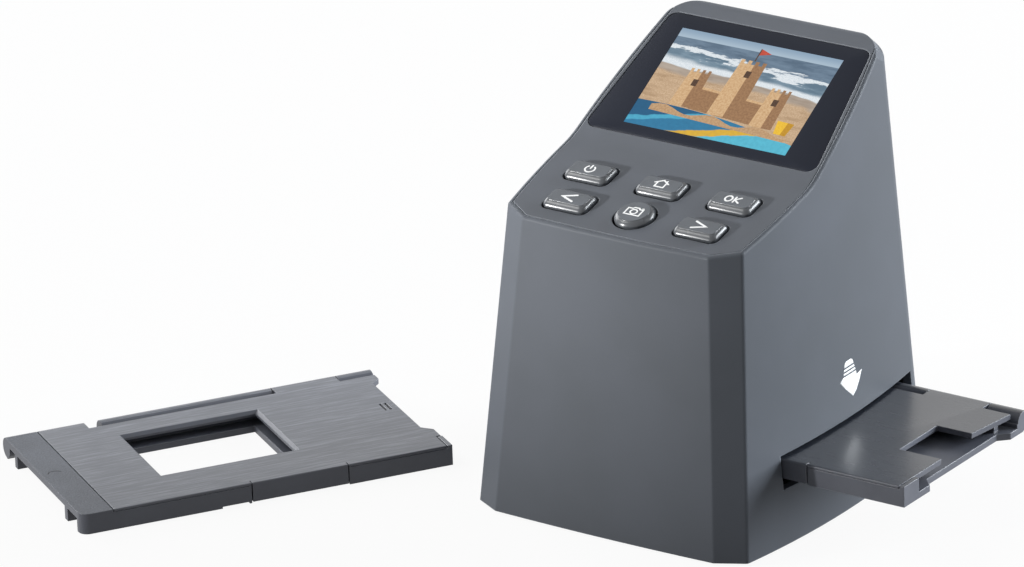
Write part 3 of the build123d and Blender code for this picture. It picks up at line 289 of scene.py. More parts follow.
finishes = {
    # the pale edge colours of shell and deck are painted highlights, light caught on the rims
    "shell": mouldedMaterial(
        "shell grey", "52565c", "565a61", grain=0.00025, speckle=0.10, mottleSize=0.03, roughness=0.48,
        spread=0.06, bump=0.000006, edge=0.0005, edgeHighlightColour="8c929a", **{"Specular IOR Level": 0.15}),
    "deck": mouldedMaterial(
        "deck grey", "565a60", "5a5e65", grain=0.00025, mottleSize=0.025, roughness=0.42, spread=0.06,
        bump=0.000006, edge=0.0004, edgeHighlightColour="8a8e95", **{"Specular IOR Level": 0.2}),
    "keySide": mouldedMaterial(
        "key side", "43464a", "4a4d51", grain=0.0003, speckle=0.06, mottleSize=0.01, roughness=0.27,
        spread=0.06, bump=0.000002, **{"Specular IOR Level": 0.55}),
    "keyTop": mouldedMaterial(
        "key top", "54585d", "5b5f65", grain=0.00022, speckle=0.75, mottleSize=0.008, spread=0.1,
        bump=0.00003, **{"Specular IOR Level": 0.4}),
    "inner": mouldedMaterial(
        "inner black plastic", "2a2c30", "303236", grain=0.0003, speckle=0.1, spread=0.1),
    "black": mouldedMaterial(
        "component black", "202124", "2a2b2e", speckle=0.15, mottleSize=0.01, roughness=0.4, spread=0.1),
    "rubber": mouldedMaterial(
        "foot rubber", "1c1c1d", "262627", grain=0.0004, speckle=0.3, mottleSize=0.006, roughness=0.8,
        spread=0.1, bump=0.00002),
    "milky": mouldedMaterial(
        "milky plastic", "e6e6e2", "dededa", grain=0.0003, speckle=0.04, roughness=0.4, spread=0.1),
    "board": mouldedMaterial(
        "circuit board green", "16402c", "1d5038", grain=0.0005, speckle=0.2, mottleSize=0.004,
        roughness=0.3, spread=0.1),
    "ribbon": mouldedMaterial(
        "amber ribbon", "a8742a", "8f5f20", grain=0.0004, speckle=0.1, mottleSize=0.003, roughness=0.3,
        spread=0.1),
    "steel": mouldedMaterial(
        "steel", "a7a9ac", "8f9194", speckle=0.15, mottleSize=0.004, roughness=0.3, spread=0.12,
        bump=0.000004, **{"Metallic": 1.0}),
    "glass": mouldedMaterial(
        "lens glass", "e8f2f4", "eef6f8", grain=0.001, speckle=0.02, mottleSize=0.01, roughness=0.03,
        spread=0.02, bump=0.0000005, **{"Transmission Weight": 1.0, "IOR": 1.5}),
    "border": mouldedMaterial(
        "window border", "1a1e29", "1c202b", grain=0.0006, speckle=0.02, roughness=0.16, spread=0.04,
        bump=0.0000004, **{"Specular IOR Level": 0.16}),
    "print": mouldedMaterial(
        "white print", "f2f3f3", "ececec", speckle=0.05, mottleSize=0.004, roughness=0.45, spread=0.06,
        bump=0.000003),
    # painted shade: this dark colour on the slit and on the cut arrow's floor stands in for the shade inside
    # them
    "slit": mouldedMaterial(
        "painted groove shade", "1d1e22", "24262a", speckle=0.1, mottleSize=0.004, roughness=0.6, spread=0.06),
    # one tray top in two tones set by its light: on the loose tray the drawn lines are painted pale, a painted
    # reflection of the bright surroundings; on the slot tray the dark base is painted shade, the housing's
    # dark reflection
    "looseTopPaintedReflection": trayMaterial(
        "drawn grey, painted reflection, loose tray", "585c65", "9b9ea8", angle=looseTray["turn"], roughness=0.36, amount=0.55,
        **{"Specular IOR Level": 0.6, "Coat Weight": 0.25, "Coat Roughness": 0.3}),
    "slotTopPaintedShade": trayMaterial(
        "drawn grey, painted shade, slot tray", "262a32", "4c4f57", angle=slotTray["turn"], roughness=0.3, amount=0.2,
        **{"Specular IOR Level": 0.6, "Coat Weight": 0.5, "Coat Roughness": 0.2}),
    # the pale edge colour of the tray side is a painted highlight, light caught on its rims
    "traySide": mouldedMaterial(
        "tray side", "4d5059", "565962", grain=0.0003, speckle=0.15, mottleSize=0.01, roughness=0.42,
        spread=0.1, edge=0.0003, edgeHighlightColour="8a8d94"),
    "trayGrain": mouldedMaterial(
        "tray bar grain", "52565e", "5c6068", grain=0.0005, speckle=0.9, mottleSize=0.01, spread=0.1,
        bump=0.00012, **{"Specular IOR Level": 0.5}),
}
slotFinish = {
    "shell_grey": "shell", "deck_grey": "deck", "window_black": "border", "display": "black",
    "steel": "steel", "key_grey": "keySide", "board_green": "board", "parts_black": "black",
    "foot_rubber": "rubber", "inner_plastic": "inner", "white_plastic": "milky", "lens_glass": "glass",
    "ribbon": "ribbon", "tray_grey": "traySide",
}
for part in frame["record"]["subparts"]:
    data = nodes[part["node"]].data
    data.materials.clear()
    data.materials.append(finishes[slotFinish[part["material_slot"]]])
print("finishes set on the CAD nodes")


# gives a mesh its materials, soft shading and body
def makeObject(name, mesh, body, materials, matrix=None, crease=35):
    for material in materials:
        mesh.materials.append(finishes[material] if isinstance(material, str) else material)
    mesh.shade_smooth()
    mesh.set_sharp_from_angle(angle=radians(crease))
    piece = bpy.data.objects.new(name, mesh)
    bpy.context.scene.collection.objects.link(piece)
    if matrix:
        piece.matrix_world = matrix
    bpy.context.view_layer.update()
    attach(piece, body)
    return piece


# a mesh of the faces drawn so far, all turned outward unless they already lie right
def closeMesh(name, shape, outward=True):
    if outward:
        bmesh.ops.recalc_face_normals(shape, faces=shape.faces)
    mesh = bpy.data.meshes.new(name)
    shape.to_mesh(mesh)
    shape.free()
    return mesh


# rings of points joined into a closed skin, flat at both ends; the last topRings get material 1
def ringMesh(name, rings, topRings=0):
    shape = bmesh.new()
    made = [[shape.verts.new(Vector(p) * mm) for p in ring] for ring in rings]
    count = len(made[0])
    for level, (low, high) in enumerate(zip(made, made[1:])):
        for i in range(count):
            face = shape.faces.new((low[i], low[(i + 1) % count], high[(i + 1) % count], high[i]))
            face.material_index = 1 if level >= len(made) - 1 - topRings else 0
    shape.faces.new(made[0][::-1])
    shape.faces.new(made[-1]).material_index = 1 if topRings else 0
    return closeMesh(name, shape)


def roundedRectangle(halfX, halfY, radius, steps=8):
    points = []
    for quarter, (sx, sy) in enumerate(((1, 1), (-1, 1), (-1, -1), (1, -1))):
        for i in range(steps + 1):
            a = (quarter + i / steps) * pi / 2
            points.append((sx * (halfX - radius) + radius * cos(a), sy * (halfY - radius) + radius * sin(a)))
    return points


edgeTurns = (30, 60, 90)  # degrees at which a small rounded edge has its rings

# keys: a cap on a short straight skirt, its sides leaning in with a bulge
keys = {
    "size": (12.7, 7.6), "corner": 1.6, "cornerLoss": 0.6,  # the corner shrinks as the sides lean in
    "foot": -2.1, "skirt": 0.35, "rise": 1.6,  # heights over the deck
    "slant": (0.75, 1.3), "bulge": 0.55, "bulgeSteps": 10, "edge": 0.16, "rim": 0.25,
    "roundRadius": 5.3, "roundSlant": 1.05, "roundSides": 64, "crease": 50,
    "places": {
        "power_button": (-21.6, 23.1), "home_button": (0, 23.1), "ok_button": (21.6, 23.1),
        "left_button": (-19.7, 10.2), "capture_button": (0, 10.2), "right_button": (19.7, 10.2),
    },
}


def keyRing(isRound, inX, inY, height):
    if isRound:
        radius = keys["roundRadius"] - inX
        turns = [2 * pi * i / keys["roundSides"] for i in range(keys["roundSides"])]
        return [(radius * cos(a), radius * sin(a), height) for a in turns]
    halfX, halfY = keys["size"][0] / 2 - inX, keys["size"][1] / 2 - inY
    corner = keys["corner"] - min(inX, inY) * keys["cornerLoss"]
    return [(x, y, height) for x, y in roundedRectangle(halfX, halfY, corner)]


def buildKey(name, place):
    isRound = name == "capture_button"
    slantX, slantY = (keys["roundSlant"],) * 2 if isRound else keys["slant"]
    rings = [keyRing(isRound, 0, 0, h) for h in (keys["foot"], 0.0, keys["skirt"])]
    for i in range(1, keys["bulgeSteps"] + 1):
        t = i / keys["bulgeSteps"]
        b = keys["bulge"]
        inward = t * (1 - b) + (1 - cos(t * pi / 2)) * b
        upward = t * (1 - b) + sin(t * pi / 2) * b
        height = keys["skirt"] + upward * (keys["rise"] - keys["edge"] - keys["skirt"])
        rings.append(keyRing(isRound, slantX * inward, slantY * inward, height))
    for a in edgeTurns:
        inward = keys["edge"] * (1 - cos(radians(a)))
        height = keys["rise"] - keys["edge"] * (1 - sin(radians(a)))
        rings.append(keyRing(isRound, slantX + inward, slantY + inward, height))
    flat = keys["edge"] + keys["rim"]
    rings.append(keyRing(isRound, slantX + flat, slantY + flat, keys["rise"]))
    mesh = ringMesh(name + "_cap", rings, 1)
    matrix = deckFrame(keyDeck) @ Matrix.Translation((place[0] * mm, place[1] * mm, 0))
    piece = makeObject(name + "_cap", mesh, name, ["keySide", "keyTop"], matrix, keys["crease"])
    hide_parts(name)


for name, place in keys["places"].items():
    buildKey(name, place)
print("keys built")


# printed marks: strokes of even width, a hair thick, on a flat place
printing = {
    "thick": 0.03, "stagger": 0.003,  # each further stroke of a mark stands a hair higher
    "mitre": 0.45, "endReach": 0.32, "endWidth": 0.62,  # how far sharp corners run out, and how the ends taper
}


def strokeFaces(shape, points, width, closed, low, high):
    path = [Vector(p) for p in points]
    count = len(path)
    lines = []
    for i, here in enumerate(path):
        before = path[i - 1] if (i or closed) else None
        after = path[(i + 1) % count] if (i < count - 1 or closed) else None
        into = (here - before).normalized() if before else (after - here).normalized()
        onward = (after - here).normalized() if after else into
        side = Vector((-(into + onward).y, (into + onward).x)).normalized()
        square = max(side.dot(Vector((-into.y, into.x))), printing["mitre"])
        reach = width / 2 / square
        lines.append((here + side * reach, here - side * reach))
    if not closed:
        for end, step in ((0, -1), (-1, 1)):
            tangent = (path[1] - path[0]) if end == 0 else (path[-1] - path[-2])
            tangent = tangent.normalized() * step
            tip = path[end] + tangent * (width * printing["endReach"])
            cap = [tip + (s - path[end]) * printing["endWidth"] for s in lines[end]]
            lines.insert(0, cap) if end == 0 else lines.append(cap)
    columns = []
    for left, right in lines:
        corners = [(left, high), (right, high), (right, low), (left, low)]
        columns.append([shape.verts.new((p[0] * mm, p[1] * mm, h * mm)) for p, h in corners])
    pairs = list(zip(columns, columns[1:] + columns[:1])) if closed else list(zip(columns, columns[1:]))
    for first, second in pairs:
        for i in range(4):
            j = (i + 1) % 4
            shape.faces.new((first[i], first[j], second[j], second[i]))
    if not closed:
        shape.faces.new(columns[0])
        shape.faces.new(columns[-1][::-1])


def arcPoints(centre, radius, start, end, steps, squash=1.0):
    found = []
    for i in range(steps + 1):
        a = radians(start + (end - start) * i / steps)
        found.append((centre[0] + radius * cos(a) * squash, centre[1] + radius * sin(a)))
    return found


# each stroke: its points on the key's top, its width, and whether it is closed
marks = {
    "power_button": [
        (arcPoints((0, -0.1), 1.35, 128, 412, 28), 0.46, False),
        ([(0, 1.5), (0, 0.1)], 0.46, False),
    ],
    "home_button": [
        ([(-2.05, 0.25), (0, 1.6), (2.05, 0.25)], 0.44, False),
        ([(-1.3, 0.75), (-1.3, -1.35), (1.3, -1.35), (1.3, 0.75)], 0.44, False),
        ([(1.15, 1.5), (1.15, 0.9)], 0.4, False),
    ],
    "ok_button": [
        (arcPoints((-1.25, 0), 1.12, 0, 345, 23, 0.86), 0.5, True),
        ([(0.5, 1.15), (0.5, -1.15)], 0.5, False),
        ([(2.05, 1.15), (0.62, -0.05), (2.15, -1.15)], 0.5, False),
    ],
    "left_button": [([(1.75, 1.45), (-1.85, 0), (1.75, -1.45)], 0.62, False)],
    "right_button": [([(-1.75, 1.45), (1.85, 0), (-1.75, -1.45)], 0.62, False)],
    "capture_button": [
        ([(-2.2, 1.1), (-0.95, 1.1), (-0.6, 1.6), (0.75, 1.6), (1.1, 1.1), (2.2, 1.1), (2.2, -1.5),
          (-2.2, -1.5)], 0.42, True),
        (arcPoints((0, -0.15), 0.92, 0, 345, 23), 0.42, True),
        ([(1.62, 1.62), (2.12, 1.62)], 0.3, False),
    ],
}
for name, strokes in marks.items():
    shape = bmesh.new()
    for order, (points, width, closed) in enumerate(strokes):
        strokeFaces(shape, points, width, closed, 0, printing["thick"] + printing["stagger"] * order)
    mesh = closeMesh(name + "_mark", shape)
    place = keys["places"][name]
    lift = Matrix.Translation((place[0] * mm, place[1] * mm, keys["rise"] * mm))
    makeObject(name + "_mark", mesh, name, ["print"], deckFrame(keyDeck) @ lift)
print("key marks printed")


# display: a dark border round the lit picture, one flat face
window = {
    "low": 4.3, "high": 44.9, "lowHalf": 35.0, "highHalf": 30.3, "corner": 2.8,  # narrower at its top
    "top": -0.1, "bottom": -1.28, "edge": 0.18,
    "clear": (48.96, 32.6), "middle": (-0.2, 24.15), "clearCorner": 0.05,  # the opening for the picture
}


# corners of a polygon turned into arcs
def roundedPolygon(corners, radius, steps=8):
    points, count = [], len(corners)
    for i, here in enumerate(corners):
        here, before, after = Vector(here), Vector(corners[i - 1]), Vector(corners[(i + 1) % count])
        a, b = (before - here).normalized(), (after - here).normalized()
        half = a.angle(b) / 2
        centre = here + (a + b).normalized() * (radius / sin(half))
        start, end = here + a * (radius / tan(half)), here + b * (radius / tan(half))
        for k in range(steps + 1):
            spoke = (start - centre).lerp(end - centre, k / steps).normalized() * radius
            points.append(tuple(centre + spoke))
    return points


def windowOutline(inset):
    w = window
    slope = (w["lowHalf"] - w["highHalf"]) / (w["high"] - w["low"])
    low, high = w["low"] + inset, w["high"] - inset
    lowHalf = w["lowHalf"] - slope * inset - inset * hypot(1, slope)
    highHalf = w["highHalf"] + slope * inset - inset * hypot(1, slope)
    corners = [(-lowHalf, low), (lowHalf, low), (highHalf, high), (-highHalf, high)]
    return roundedPolygon(corners, w["corner"] - inset)


def buildWindow():
    w = window
    shape = bmesh.new()
    outer = [(windowOutline(0), w["bottom"]), (windowOutline(0), w["top"] - w["edge"])]
    for a in edgeTurns:
        inward, down = w["edge"] * (1 - cos(radians(a))), w["edge"] * (1 - sin(radians(a)))
        outer.append((windowOutline(inward), w["top"] - down))
    halfX, halfY = w["clear"][0] / 2, w["clear"][1] / 2
    middleX, middleY = w["middle"]
    corners = [(middleX - halfX, middleY - halfY), (middleX + halfX, middleY - halfY),
               (middleX + halfX, middleY + halfY), (middleX - halfX, middleY + halfY)]
    opening = roundedPolygon(corners, w["clearCorner"])
    inner = [(opening, w["top"]), (opening, w["bottom"])]
    loops = [[shape.verts.new((x * mm, y * mm, h * mm)) for x, y in ring] for ring, h in outer + inner]
    count = len(opening)
    for low, high in zip(loops, loops[1:] + loops[:1]):
        for i in range(count):
            shape.faces.new((low[i], low[(i + 1) % count], high[(i + 1) % count], high[i]))
    mesh = closeMesh("window_border", shape)
    border = makeObject("window_border", mesh, "housing", ["border"], deckFrame(viewDeck))
    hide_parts("display_window")


buildWindow()
print("window built")

# the picture on the display: a plain shore with towers of sand and a striped mat
picture = {
    "size": window["clear"], "depth": -0.16, "step": 0.006, "glow": 1.0, "fleck": 0.0006,
    "dark": (0.004, 0.004, 0.005, 1), "face": {"Roughness": 0.16, "Specular IOR Level": 0.16},
    "matTurn": -14, "matBlur": 0.2, "matLow": "5cc3dc",
    "matLines": ((-15.0, "e9b92a"), (-13.0, "2f7fa8"), (-9.0, "4fb2d2"), (-7.6, "1f5f86")),
    # towers: left, right, low, high
    "towers": ((-15.5, -8.5, -8.0, 3.4), (-3.6, 5.2, -8.6, 9.2), (9.6, 16.4, -9.6, 2.2)),
    "litShare": 0.56, "lean": 0.07, "teeth": 4, "toothHeight": 1.2,
}


# a dark glossy face that glows; the colours go to the socket it gives back
def startGlow(name):
    material, tree, shader = startMaterial(name, {**picture["face"], "Emission Strength": picture["glow"]})
    shader.inputs["Base Color"].default_value = picture["dark"]
    place = addNode(tree, "ShaderNodeTexCoord").outputs["Object"]
    return material, tree, shader.inputs["Emission Color"], place


def fleckedMaterial(name, colour, second):
    material, tree, glow, place = startGlow(name)
    flecks = noise(tree, place, 1 / picture["fleck"], 3.0, 0.6)
    feed(tree, glow, mixColour(tree, ramp(tree, flecks, 0.3, 0.7), rgb(colour), rgb(second)))
    return material


def shoreMaterial():
    material, tree, glow, place = startGlow("display shore")
    parts = addNode(tree, "ShaderNodeSeparateXYZ")
    feed(tree, parts.inputs[0], place)
    wide, tall = picture["size"][0] * mm, picture["size"][1] * mm
    across = calc(tree, "MULTIPLY_ADD", parts.outputs["X"], 1 / wide, 0.5)
    up = calc(tree, "MULTIPLY_ADD", parts.outputs["Y"], 1 / tall, 0.5)

    def stretched(scale, detail, rough):
        stretch = addNode(tree, "ShaderNodeVectorMath", operation="MULTIPLY")
        feed(tree, stretch.inputs[0], place)
        stretch.inputs[1].default_value = scale
        return noise(tree, stretch.outputs[0], 1.0, detail, rough)

    def blend(mask, low, high, first, second):
        return mixColour(tree, ramp(tree, mask, low, high), rgb(first), rgb(second))

    waves = stretched((110, 520, 1), 4.0, 0.6)
    wander = stretched((55, 160, 1), 3.0, 0.5)
    fine = noise(tree, place, 2600, 2.0, 0.6)
    # everything drifts down a little to the right, like a shore seen aslant
    level = calc(tree, "MULTIPLY_ADD", across, 0.10, up)
    level = calc(tree, "MULTIPLY_ADD", calc(tree, "SUBTRACT", wander, 0.5), 0.14, level)
    broken = calc(tree, "MULTIPLY_ADD", calc(tree, "SUBTRACT", waves, 0.5), 0.25, level)

    sand = blend(fine, 0.3, 0.7, "b99a78", "d0b494")
    sand = mixColour(tree, ramp(tree, waves, 0.45, 0.75), sand, rgb("a88a6a"))
    wet = blend(waves, 0.3, 0.7, "9b8b7c", "b3a698")
    foam = blend(fine, 0.3, 0.7, "e8edf0", "cfd9e0")
    sea = blend(waves, 0.35, 0.65, "5d7587", "7f96a6")
    far = blend(waves, 0.35, 0.65, "54697d", "6d8296")
    sky = blend(up, 0.9, 1.0, "a9bccb", "8aa2b8")
    # each band begins between two heights, given as shares of the picture's own
    bands = [
        (level, 0.56, 0.60, wet), (level, 0.645, 0.66, foam), (level, 0.69, 0.73, sea),
        (broken, 0.775, 0.79, foam), (broken, 0.83, 0.85, far), (up, 0.912, 0.918, sky),
    ]
    tint = sand
    for height, low, high, band in bands:
        tint = mixColour(tree, ramp(tree, height, low, high), tint, band)
    feed(tree, glow, tint)
    return material


def matMaterial():
    material, tree, glow, place = startGlow("display mat")
    turned = addNode(tree, "ShaderNodeVectorRotate", rotation_type="Z_AXIS")
    feed(tree, turned.inputs["Vector"], place)
    turned.inputs["Angle"].default_value = radians(picture["matTurn"])
    parts = addNode(tree, "ShaderNodeSeparateXYZ")
    feed(tree, parts.inputs[0], turned.outputs[0])
    soft = noise(tree, place, 260, 3.0, 0.5)
    band = calc(tree, "MULTIPLY_ADD", calc(tree, "SUBTRACT", soft, 0.5), 0.0012, parts.outputs["Y"])
    tint = rgb(picture["matLow"])
    for line, colour in picture["matLines"]:
        low, high = (line - picture["matBlur"]) * mm, (line + picture["matBlur"]) * mm
        tint = mixColour(tree, ramp(tree, band, low, high), tint, rgb(colour))
    shade = noise(tree, place, 900, 2.0, 0.5)
    tint = mixColour(tree, calc(tree, "MULTIPLY", shade, 0.35), tint, rgb("163f5c"))
    feed(tree, glow, tint)
    return material


def buildPicture():
    tones = {
        "shore": shoreMaterial(),
        "mat": matMaterial(),
        "lit": fleckedMaterial("display sand lit", "d9b78c", "c49c70"),
        "shade": fleckedMaterial("display sand shade", "8e6a4a", "a37c58"),
        "opening": fleckedMaterial("display dark opening", "4a3527", "5a4230"),
        "slope": fleckedMaterial("display sand slope", "b08b66", "c7a47c"),
        "red": fleckedMaterial("display red cloth", "b8402f", "c9553f"),
        "yellow": fleckedMaterial("display yellow lit", "efc23a", "e4b42e"),
        "yellowShade": fleckedMaterial("display yellow shade", "b98718", "c7962a"),
    }
    order = list(tones)
    wide, tall = picture["size"][0] / 2, picture["size"][1] / 2
    shape = bmesh.new()

    # one flat face, level steps in front of the screen
    def patch(points, level, tone):
        height = level * picture["step"] * mm
        face = shape.faces.new([shape.verts.new((x * mm, y * mm, height)) for x, y in points])
        face.material_index = order.index(tone)

    def box(x0, x1, y0, y1, level, tone):
        patch([(x0, y0), (x1, y0), (x1, y1), (x0, y1)], level, tone)

    box(-wide, wide, -tall, tall, 1, "shore")
    # the mat, its edge a slow curve
    edge = [(-wide + i * 2 * wide / 24, -9.2 + 2.1 * sin(i / 24 * 2.6 + 0.5) - i * 0.16) for i in range(25)]
    patch([(-wide, -tall), (wide, -tall)] + edge[::-1], 2, "mat")
    # towers of sand: left side lit, right side in shade, battlements on top, an opening in front
    for left, right, low, high in picture["towers"]:
        middle = left + (right - left) * picture["litShare"]
        lean = (right - left) * picture["lean"]
        patch([(left, low), (middle, low), (middle, high), (left + lean, high)], 4, "lit")
        patch([(middle, low), (right, low), (right - lean, high), (middle, high)], 4, "shade")
        step = (right - left - 2 * lean) / (2 * picture["teeth"] - 1)
        for k in range(picture["teeth"]):
            start = left + lean + 2 * k * step
            tone = "lit" if start < middle else "shade"
            box(start, start + step, high, high + picture["toothHeight"], 4, tone)
        box(middle - 1.1, middle + 0.5, high - 4.4, high - 2.2, 5, "opening")
    # the wall between the towers
    patch([(-9.5, -8.2), (11.0, -9.4), (11.0, -2.6), (-9.5, -1.4)], 3, "shade")
    patch([(-9.5, -1.4), (11.0, -2.6), (11.0, -1.9), (-9.5, -0.6)], 3, "lit")
    # slope of loose sand at the foot, a little flag on its pole, a yellow bucket
    foot = [(-20 + i * 42 / 20, -8.9 - i * 0.1 + 1.7 * sin(i * 0.9) * 0.5) for i in range(21)]
    patch([(22, -12.6), (-20, -10.8)] + foot, 5, "slope")
    box(0.6, 0.95, 10.4, 14.6, 5, "opening")
    patch([(0.95, 14.6), (4.3, 13.5), (0.95, 12.5)], 5, "red")
    patch([(17.6, -10.4), (21.2, -10.6), (21.9, -6.4), (16.9, -6.2)], 6, "yellow")
    patch([(19.6, -10.5), (21.2, -10.6), (21.9, -6.4), (20.0, -6.3)], 7, "yellowShade")
    for face in shape.faces:
        if face.normal.z < 0:
            face.normal_flip()
    mesh = closeMesh("display_picture", shape, outward=False)
    materials = list(tones.values())
    lift = Matrix.Translation((window["middle"][0] * mm, window["middle"][1] * mm, picture["depth"] * mm))
    makeObject("display_picture", mesh, "housing", materials, deckFrame(viewDeck) @ lift)


buildPicture()
print("display picture built")


# trays: the CAD shapes with their edges rounded
trayEdges = {"width": 0.42, "segments": 3, "angle": 35, "weld": 0.002, "flatten": 0.5}
trayTops = {"upward": 0.9, "top": 5.4, "arrowFloor": 5.25, "bar": 8.8}  # heights, and the end bar's width


def softenedPiece(node, body, materials, pick):
    shape = bmesh.new()
    shape.from_mesh(nodes[node].data)
    bmesh.ops.remove_doubles(shape, verts=shape.verts, dist=trayEdges["weld"] * mm)
    bmesh.ops.dissolve_limit(
        shape, angle_limit=radians(trayEdges["flatten"]), verts=shape.verts, edges=shape.edges,
        use_dissolve_boundaries=False,
    )
    for face in shape.faces:
        face.normal_update()
        face.material_index = pick(face.calc_center_median(), face.normal)
    mesh = closeMesh(node + "_shaped", shape, outward=False)
    for layer in [a.name for a in mesh.attributes if "custom_normal" in a.name]:
        mesh.attributes.remove(mesh.attributes[layer])
    piece = makeObject(node + "_shaped", mesh, body, materials)
    rounding = piece.modifiers.new("rounded edges", "BEVEL")
    rounding.width = trayEdges["width"] * mm
    rounding.segments = trayEdges["segments"]
    rounding.limit_method = "ANGLE"
    rounding.angle_limit = radians(trayEdges["angle"])
    rounding.use_clamp_overlap = True
    rounding.harden_normals = True
    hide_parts(node)


# material 1 for the drawn top, 2 for the grained end bar, 3 for the floor of the cut arrow, painted dark as
# its shade, else 0
def trayPick(tray, barTop):
    inverse = trayFrame(tray).inverted()

    def pick(centre, normal):
        local = inverse @ centre
        if normal.z > trayTops["upward"]:
            if local.z > trayTops["top"] * mm:
                return 2 if barTop and local.x < trayTops["bar"] * mm else 1
            if local.z > trayTops["arrowFloor"] * mm:
                return 3
        return 0

    return pick


looseMaterials = ["traySide", "looseTopPaintedReflection", "trayGrain", "slit"]
slotMaterials = ["traySide", "slotTopPaintedShade", "trayGrain", "slit"]
softenedPiece("loose_tray_base", "loose_tray", looseMaterials, trayPick(looseTray, True))
softenedPiece("loose_tray_lid", "loose_lid", looseMaterials, trayPick(looseTray, False))
softenedPiece("inserted_tray_base", "inserted_tray", slotMaterials, trayPick(slotTray, True))
softenedPiece("inserted_tray_lid", "inserted_tray", slotMaterials, trayPick(slotTray, False))

# the small hooked slit in each tray's end bar: a dark strip laid on the top, painted shade where the slit is
slit = {
    "path": arcPoints((3.4, 28.2), 2.3, 35, 118, 10) + [(1.75, 29.35)],
    "width": 0.42, "low": 5.58, "high": 5.605,
}
for body, tray in (("loose_tray", looseTray), ("inserted_tray", slotTray)):
    shape = bmesh.new()
    strokeFaces(shape, slit["path"], slit["width"], False, slit["low"], slit["high"])
    mesh = closeMesh(body + "_slit", shape)
    makeObject(body + "_slit", mesh, body, ["slit"], trayFrame(tray))
print("trays built")


# the arrow printed over the slot: flat patches, Y and Z, laid on the curved side
arrow = {
    "patches": [
        [(11.8, 28.8), (8.6, 31.6), (6.3, 34.0), (7.9, 33.75), (7.95, 34.85), (14.2, 34.85), (14.25, 33.75),
         (17.1, 34.15), (15.4, 31.8), (13.6, 29.9)],
        [(8.15, 35.25), (14.1, 35.25), (13.9, 35.8), (8.35, 35.8)],
        [(8.45, 36.2), (13.75, 36.2), (13.55, 36.75), (8.7, 36.75)],
        [(8.85, 37.15), (13.45, 37.15), (13.0, 38.3), (12.4, 38.65), (10.2, 38.65), (9.3, 38.3)],
    ],
    "lift": 0.03, "cell": 0.6, "cuts": 4, "from": 0.2,  # from: where the rays to the side start, in metres
}


def buildArrow():
    shape = bmesh.new()
    for points in arrow["patches"]:
        shape.faces.new([shape.verts.new((0, y * mm, z * mm)) for y, z in points])
    bmesh.ops.triangulate(shape, faces=shape.faces)
    for _ in range(arrow["cuts"]):
        long = [e for e in shape.edges if e.calc_length() > arrow["cell"] * mm]
        if long:
            bmesh.ops.subdivide_edges(shape, edges=long, cuts=1)
            bmesh.ops.triangulate(shape, faces=[f for f in shape.faces if len(f.verts) > 3])
    side = BVHTree.FromObject(nodes["main_shell"], bpy.context.evaluated_depsgraph_get())
    for vert in shape.verts:
        hit = side.ray_cast(Vector((arrow["from"], vert.co.y, vert.co.z)), Vector((-1, 0, 0)))
        vert.co.x = hit[0].x + arrow["lift"] * mm
    for face in shape.faces:
        face.normal_update()
        if face.normal.x < 0:
            face.normal_flip()
    mesh = closeMesh("slot_arrow", shape, outward=False)
    piece = makeObject("slot_arrow", mesh, "housing", ["print"])
    skin = piece.modifiers.new("thickness", "SOLIDIFY")
    skin.thickness = arrow["lift"] * mm
    skin.offset = -1


buildArrow()
print("arrow printed")

# floor, backdrop and light, in metres and watts
studio = {
    "floorSize": 12.0, "floorDrop": 0.00005, "paper": (0.22, 0.22, 0.22, 1), "paperShare": 0.25,
    "glow": 1.24, "ambient": 0.17, "aim": (0, 0, 0.05),
    "lamps": [
        # name, position, size, power, colour
        ("left softbox", (-0.97, -0.63, 1.33), 0.6, 8.5, (1.0, 0.99, 0.965)),
        ("right softbox", (1.2, 1.32, 0.48), 0.9, 62, (0.90, 0.95, 1.0)),
        ("key edge softbox", (0.67, 1.44, 0.98), 0.45, 4.5, (0.92, 0.96, 1.0)),
        ("rim softbox", (1.39, 0.23, 1.31), 0.35, 2.2, (0.95, 0.98, 1.0)),
        ("back fill", (-1.7, 0.35, 0.8), 1.0, 15, (0.97, 0.98, 1.0)),
    ],
    "grid": {
        "place": (-1.4, -1.7, 0.35), "aim": (-0.055, -0.035, 0.085),
        "cone": 5.9, "power": 330, "radius": 0.06,
    },
}


# 1 where the eye sees a surface, straight or in metal or glass, so that it shows white there
def viewRays(tree):
    path = addNode(tree, "ShaderNodeLightPath")
    seen = calc(tree, "MAXIMUM", path.outputs["Is Camera Ray"], path.outputs["Is Glossy Ray"])
    return calc(tree, "MAXIMUM", seen, path.outputs["Is Transmission Ray"])


def buildFloor():
    half = studio["floorSize"] / 2
    shape = bmesh.new()
    bmesh.ops.create_grid(shape, x_segments=8, y_segments=8, size=half)
    for vert in shape.verts:
        vert.co.z = -studio["floorDrop"]
    mesh = closeMesh("floor", shape, outward=False)
    material = bpy.data.materials.new("pale floor")
    material.use_nodes = True
    tree = material.node_tree
    tree.nodes.clear()
    out = addNode(tree, "ShaderNodeOutputMaterial")
    paper = addNode(tree, "ShaderNodeBsdfDiffuse")
    paper.inputs["Color"].default_value = studio["paper"]
    glow = addNode(tree, "ShaderNodeEmission")
    glow.inputs["Strength"].default_value = studio["glow"]
    mixer = addNode(tree, "ShaderNodeMixShader")
    feed(tree, mixer.inputs[0], calc(tree, "MULTIPLY", viewRays(tree), 1 - studio["paperShare"]))
    feed(tree, mixer.inputs[1], paper.outputs[0])
    feed(tree, mixer.inputs[2], glow.outputs[0])
    feed(tree, out.inputs["Surface"], mixer.outputs[0])
    mesh.materials.append(material)
    floor = bpy.data.objects.new("floor", mesh)
    bpy.context.scene.collection.objects.link(floor)


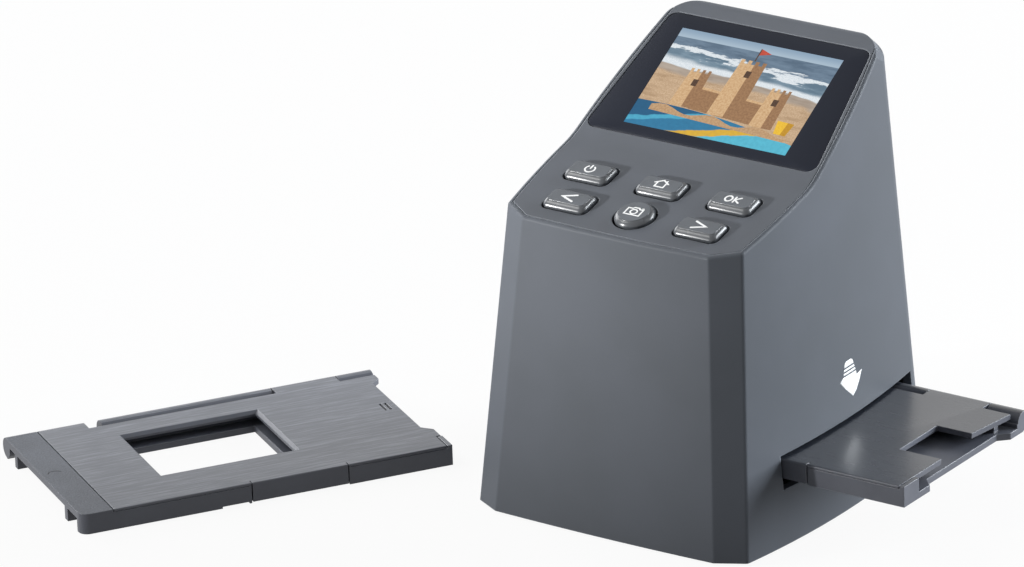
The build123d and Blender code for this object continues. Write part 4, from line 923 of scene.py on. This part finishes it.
def buildWorld():
    world = bpy.data.worlds.new("studio")
    world.use_nodes = True
    tree = world.node_tree
    tree.nodes.clear()
    out = addNode(tree, "ShaderNodeOutputWorld")
    white = addNode(tree, "ShaderNodeBackground")
    white.inputs["Color"].default_value = (1, 1, 1, 1)
    soft = addNode(tree, "ShaderNodeBackground")
    soft.inputs["Color"].default_value = (1, 1, 1, 1)
    soft.inputs["Strength"].default_value = studio["ambient"]
    mixer = addNode(tree, "ShaderNodeMixShader")
    feed(tree, mixer.inputs[0], viewRays(tree))
    feed(tree, mixer.inputs[1], soft.outputs[0])
    feed(tree, mixer.inputs[2], white.outputs[0])
    feed(tree, out.inputs["Surface"], mixer.outputs[0])
    bpy.context.scene.world = world


def hangLamp(data, place, aim, power, colour=(1, 1, 1)):
    data.energy = power
    data.color = colour
    lamp = bpy.data.objects.new(data.name, data)
    lamp.location = place
    lamp.rotation_euler = (Vector(aim) - Vector(place)).to_track_quat("-Z", "Y").to_euler()
    bpy.context.scene.collection.objects.link(lamp)


def buildLamps():
    for name, place, size, power, colour in studio["lamps"]:
        data = bpy.data.lights.new(name, "AREA")
        data.shape = "SQUARE"
        data.size = size
        hangLamp(data, place, studio["aim"], power, colour)
    # a narrow lamp with a soft edge, which fades across the front from its upper left
    grid = studio["grid"]
    data = bpy.data.lights.new("grid spot", "SPOT")
    data.spot_size = radians(grid["cone"])
    data.spot_blend = 1.0
    data.shadow_soft_size = grid["radius"]
    hangLamp(data, grid["place"], grid["aim"], grid["power"])


buildFloor()
buildWorld()
buildLamps()

# the photograph's own view: the place in millimetres, the lens too, then the view's three directions
camera = {
    "place": (1189.2083, -1759.2096, 903.0015), "lens": 316.40625, "sensor": 36.0, "reach": 50,
    "right": (0.82350704, 0.56636854, -0.03260109), "up": (-0.18494147, 0.3223463, 0.92838005),
    "forward": (-0.53631409, 0.75849821, -0.37019948),
}
data = bpy.data.cameras.new("camera")
data.lens = camera["lens"]
data.sensor_width = camera["sensor"]
data.clip_end = camera["reach"]
eye = bpy.data.objects.new("camera", data)
axes = [Vector(camera["right"]), Vector(camera["up"]), -Vector(camera["forward"])]
eye.matrix_world = Matrix.Translation(Vector(camera["place"]) * mm) @ Matrix(axes).transposed().to_4x4()
bpy.context.scene.collection.objects.link(eye)
bpy.context.scene.camera = eye
bpy.context.scene.view_settings.view_transform = "Standard"
print("studio and camera set")
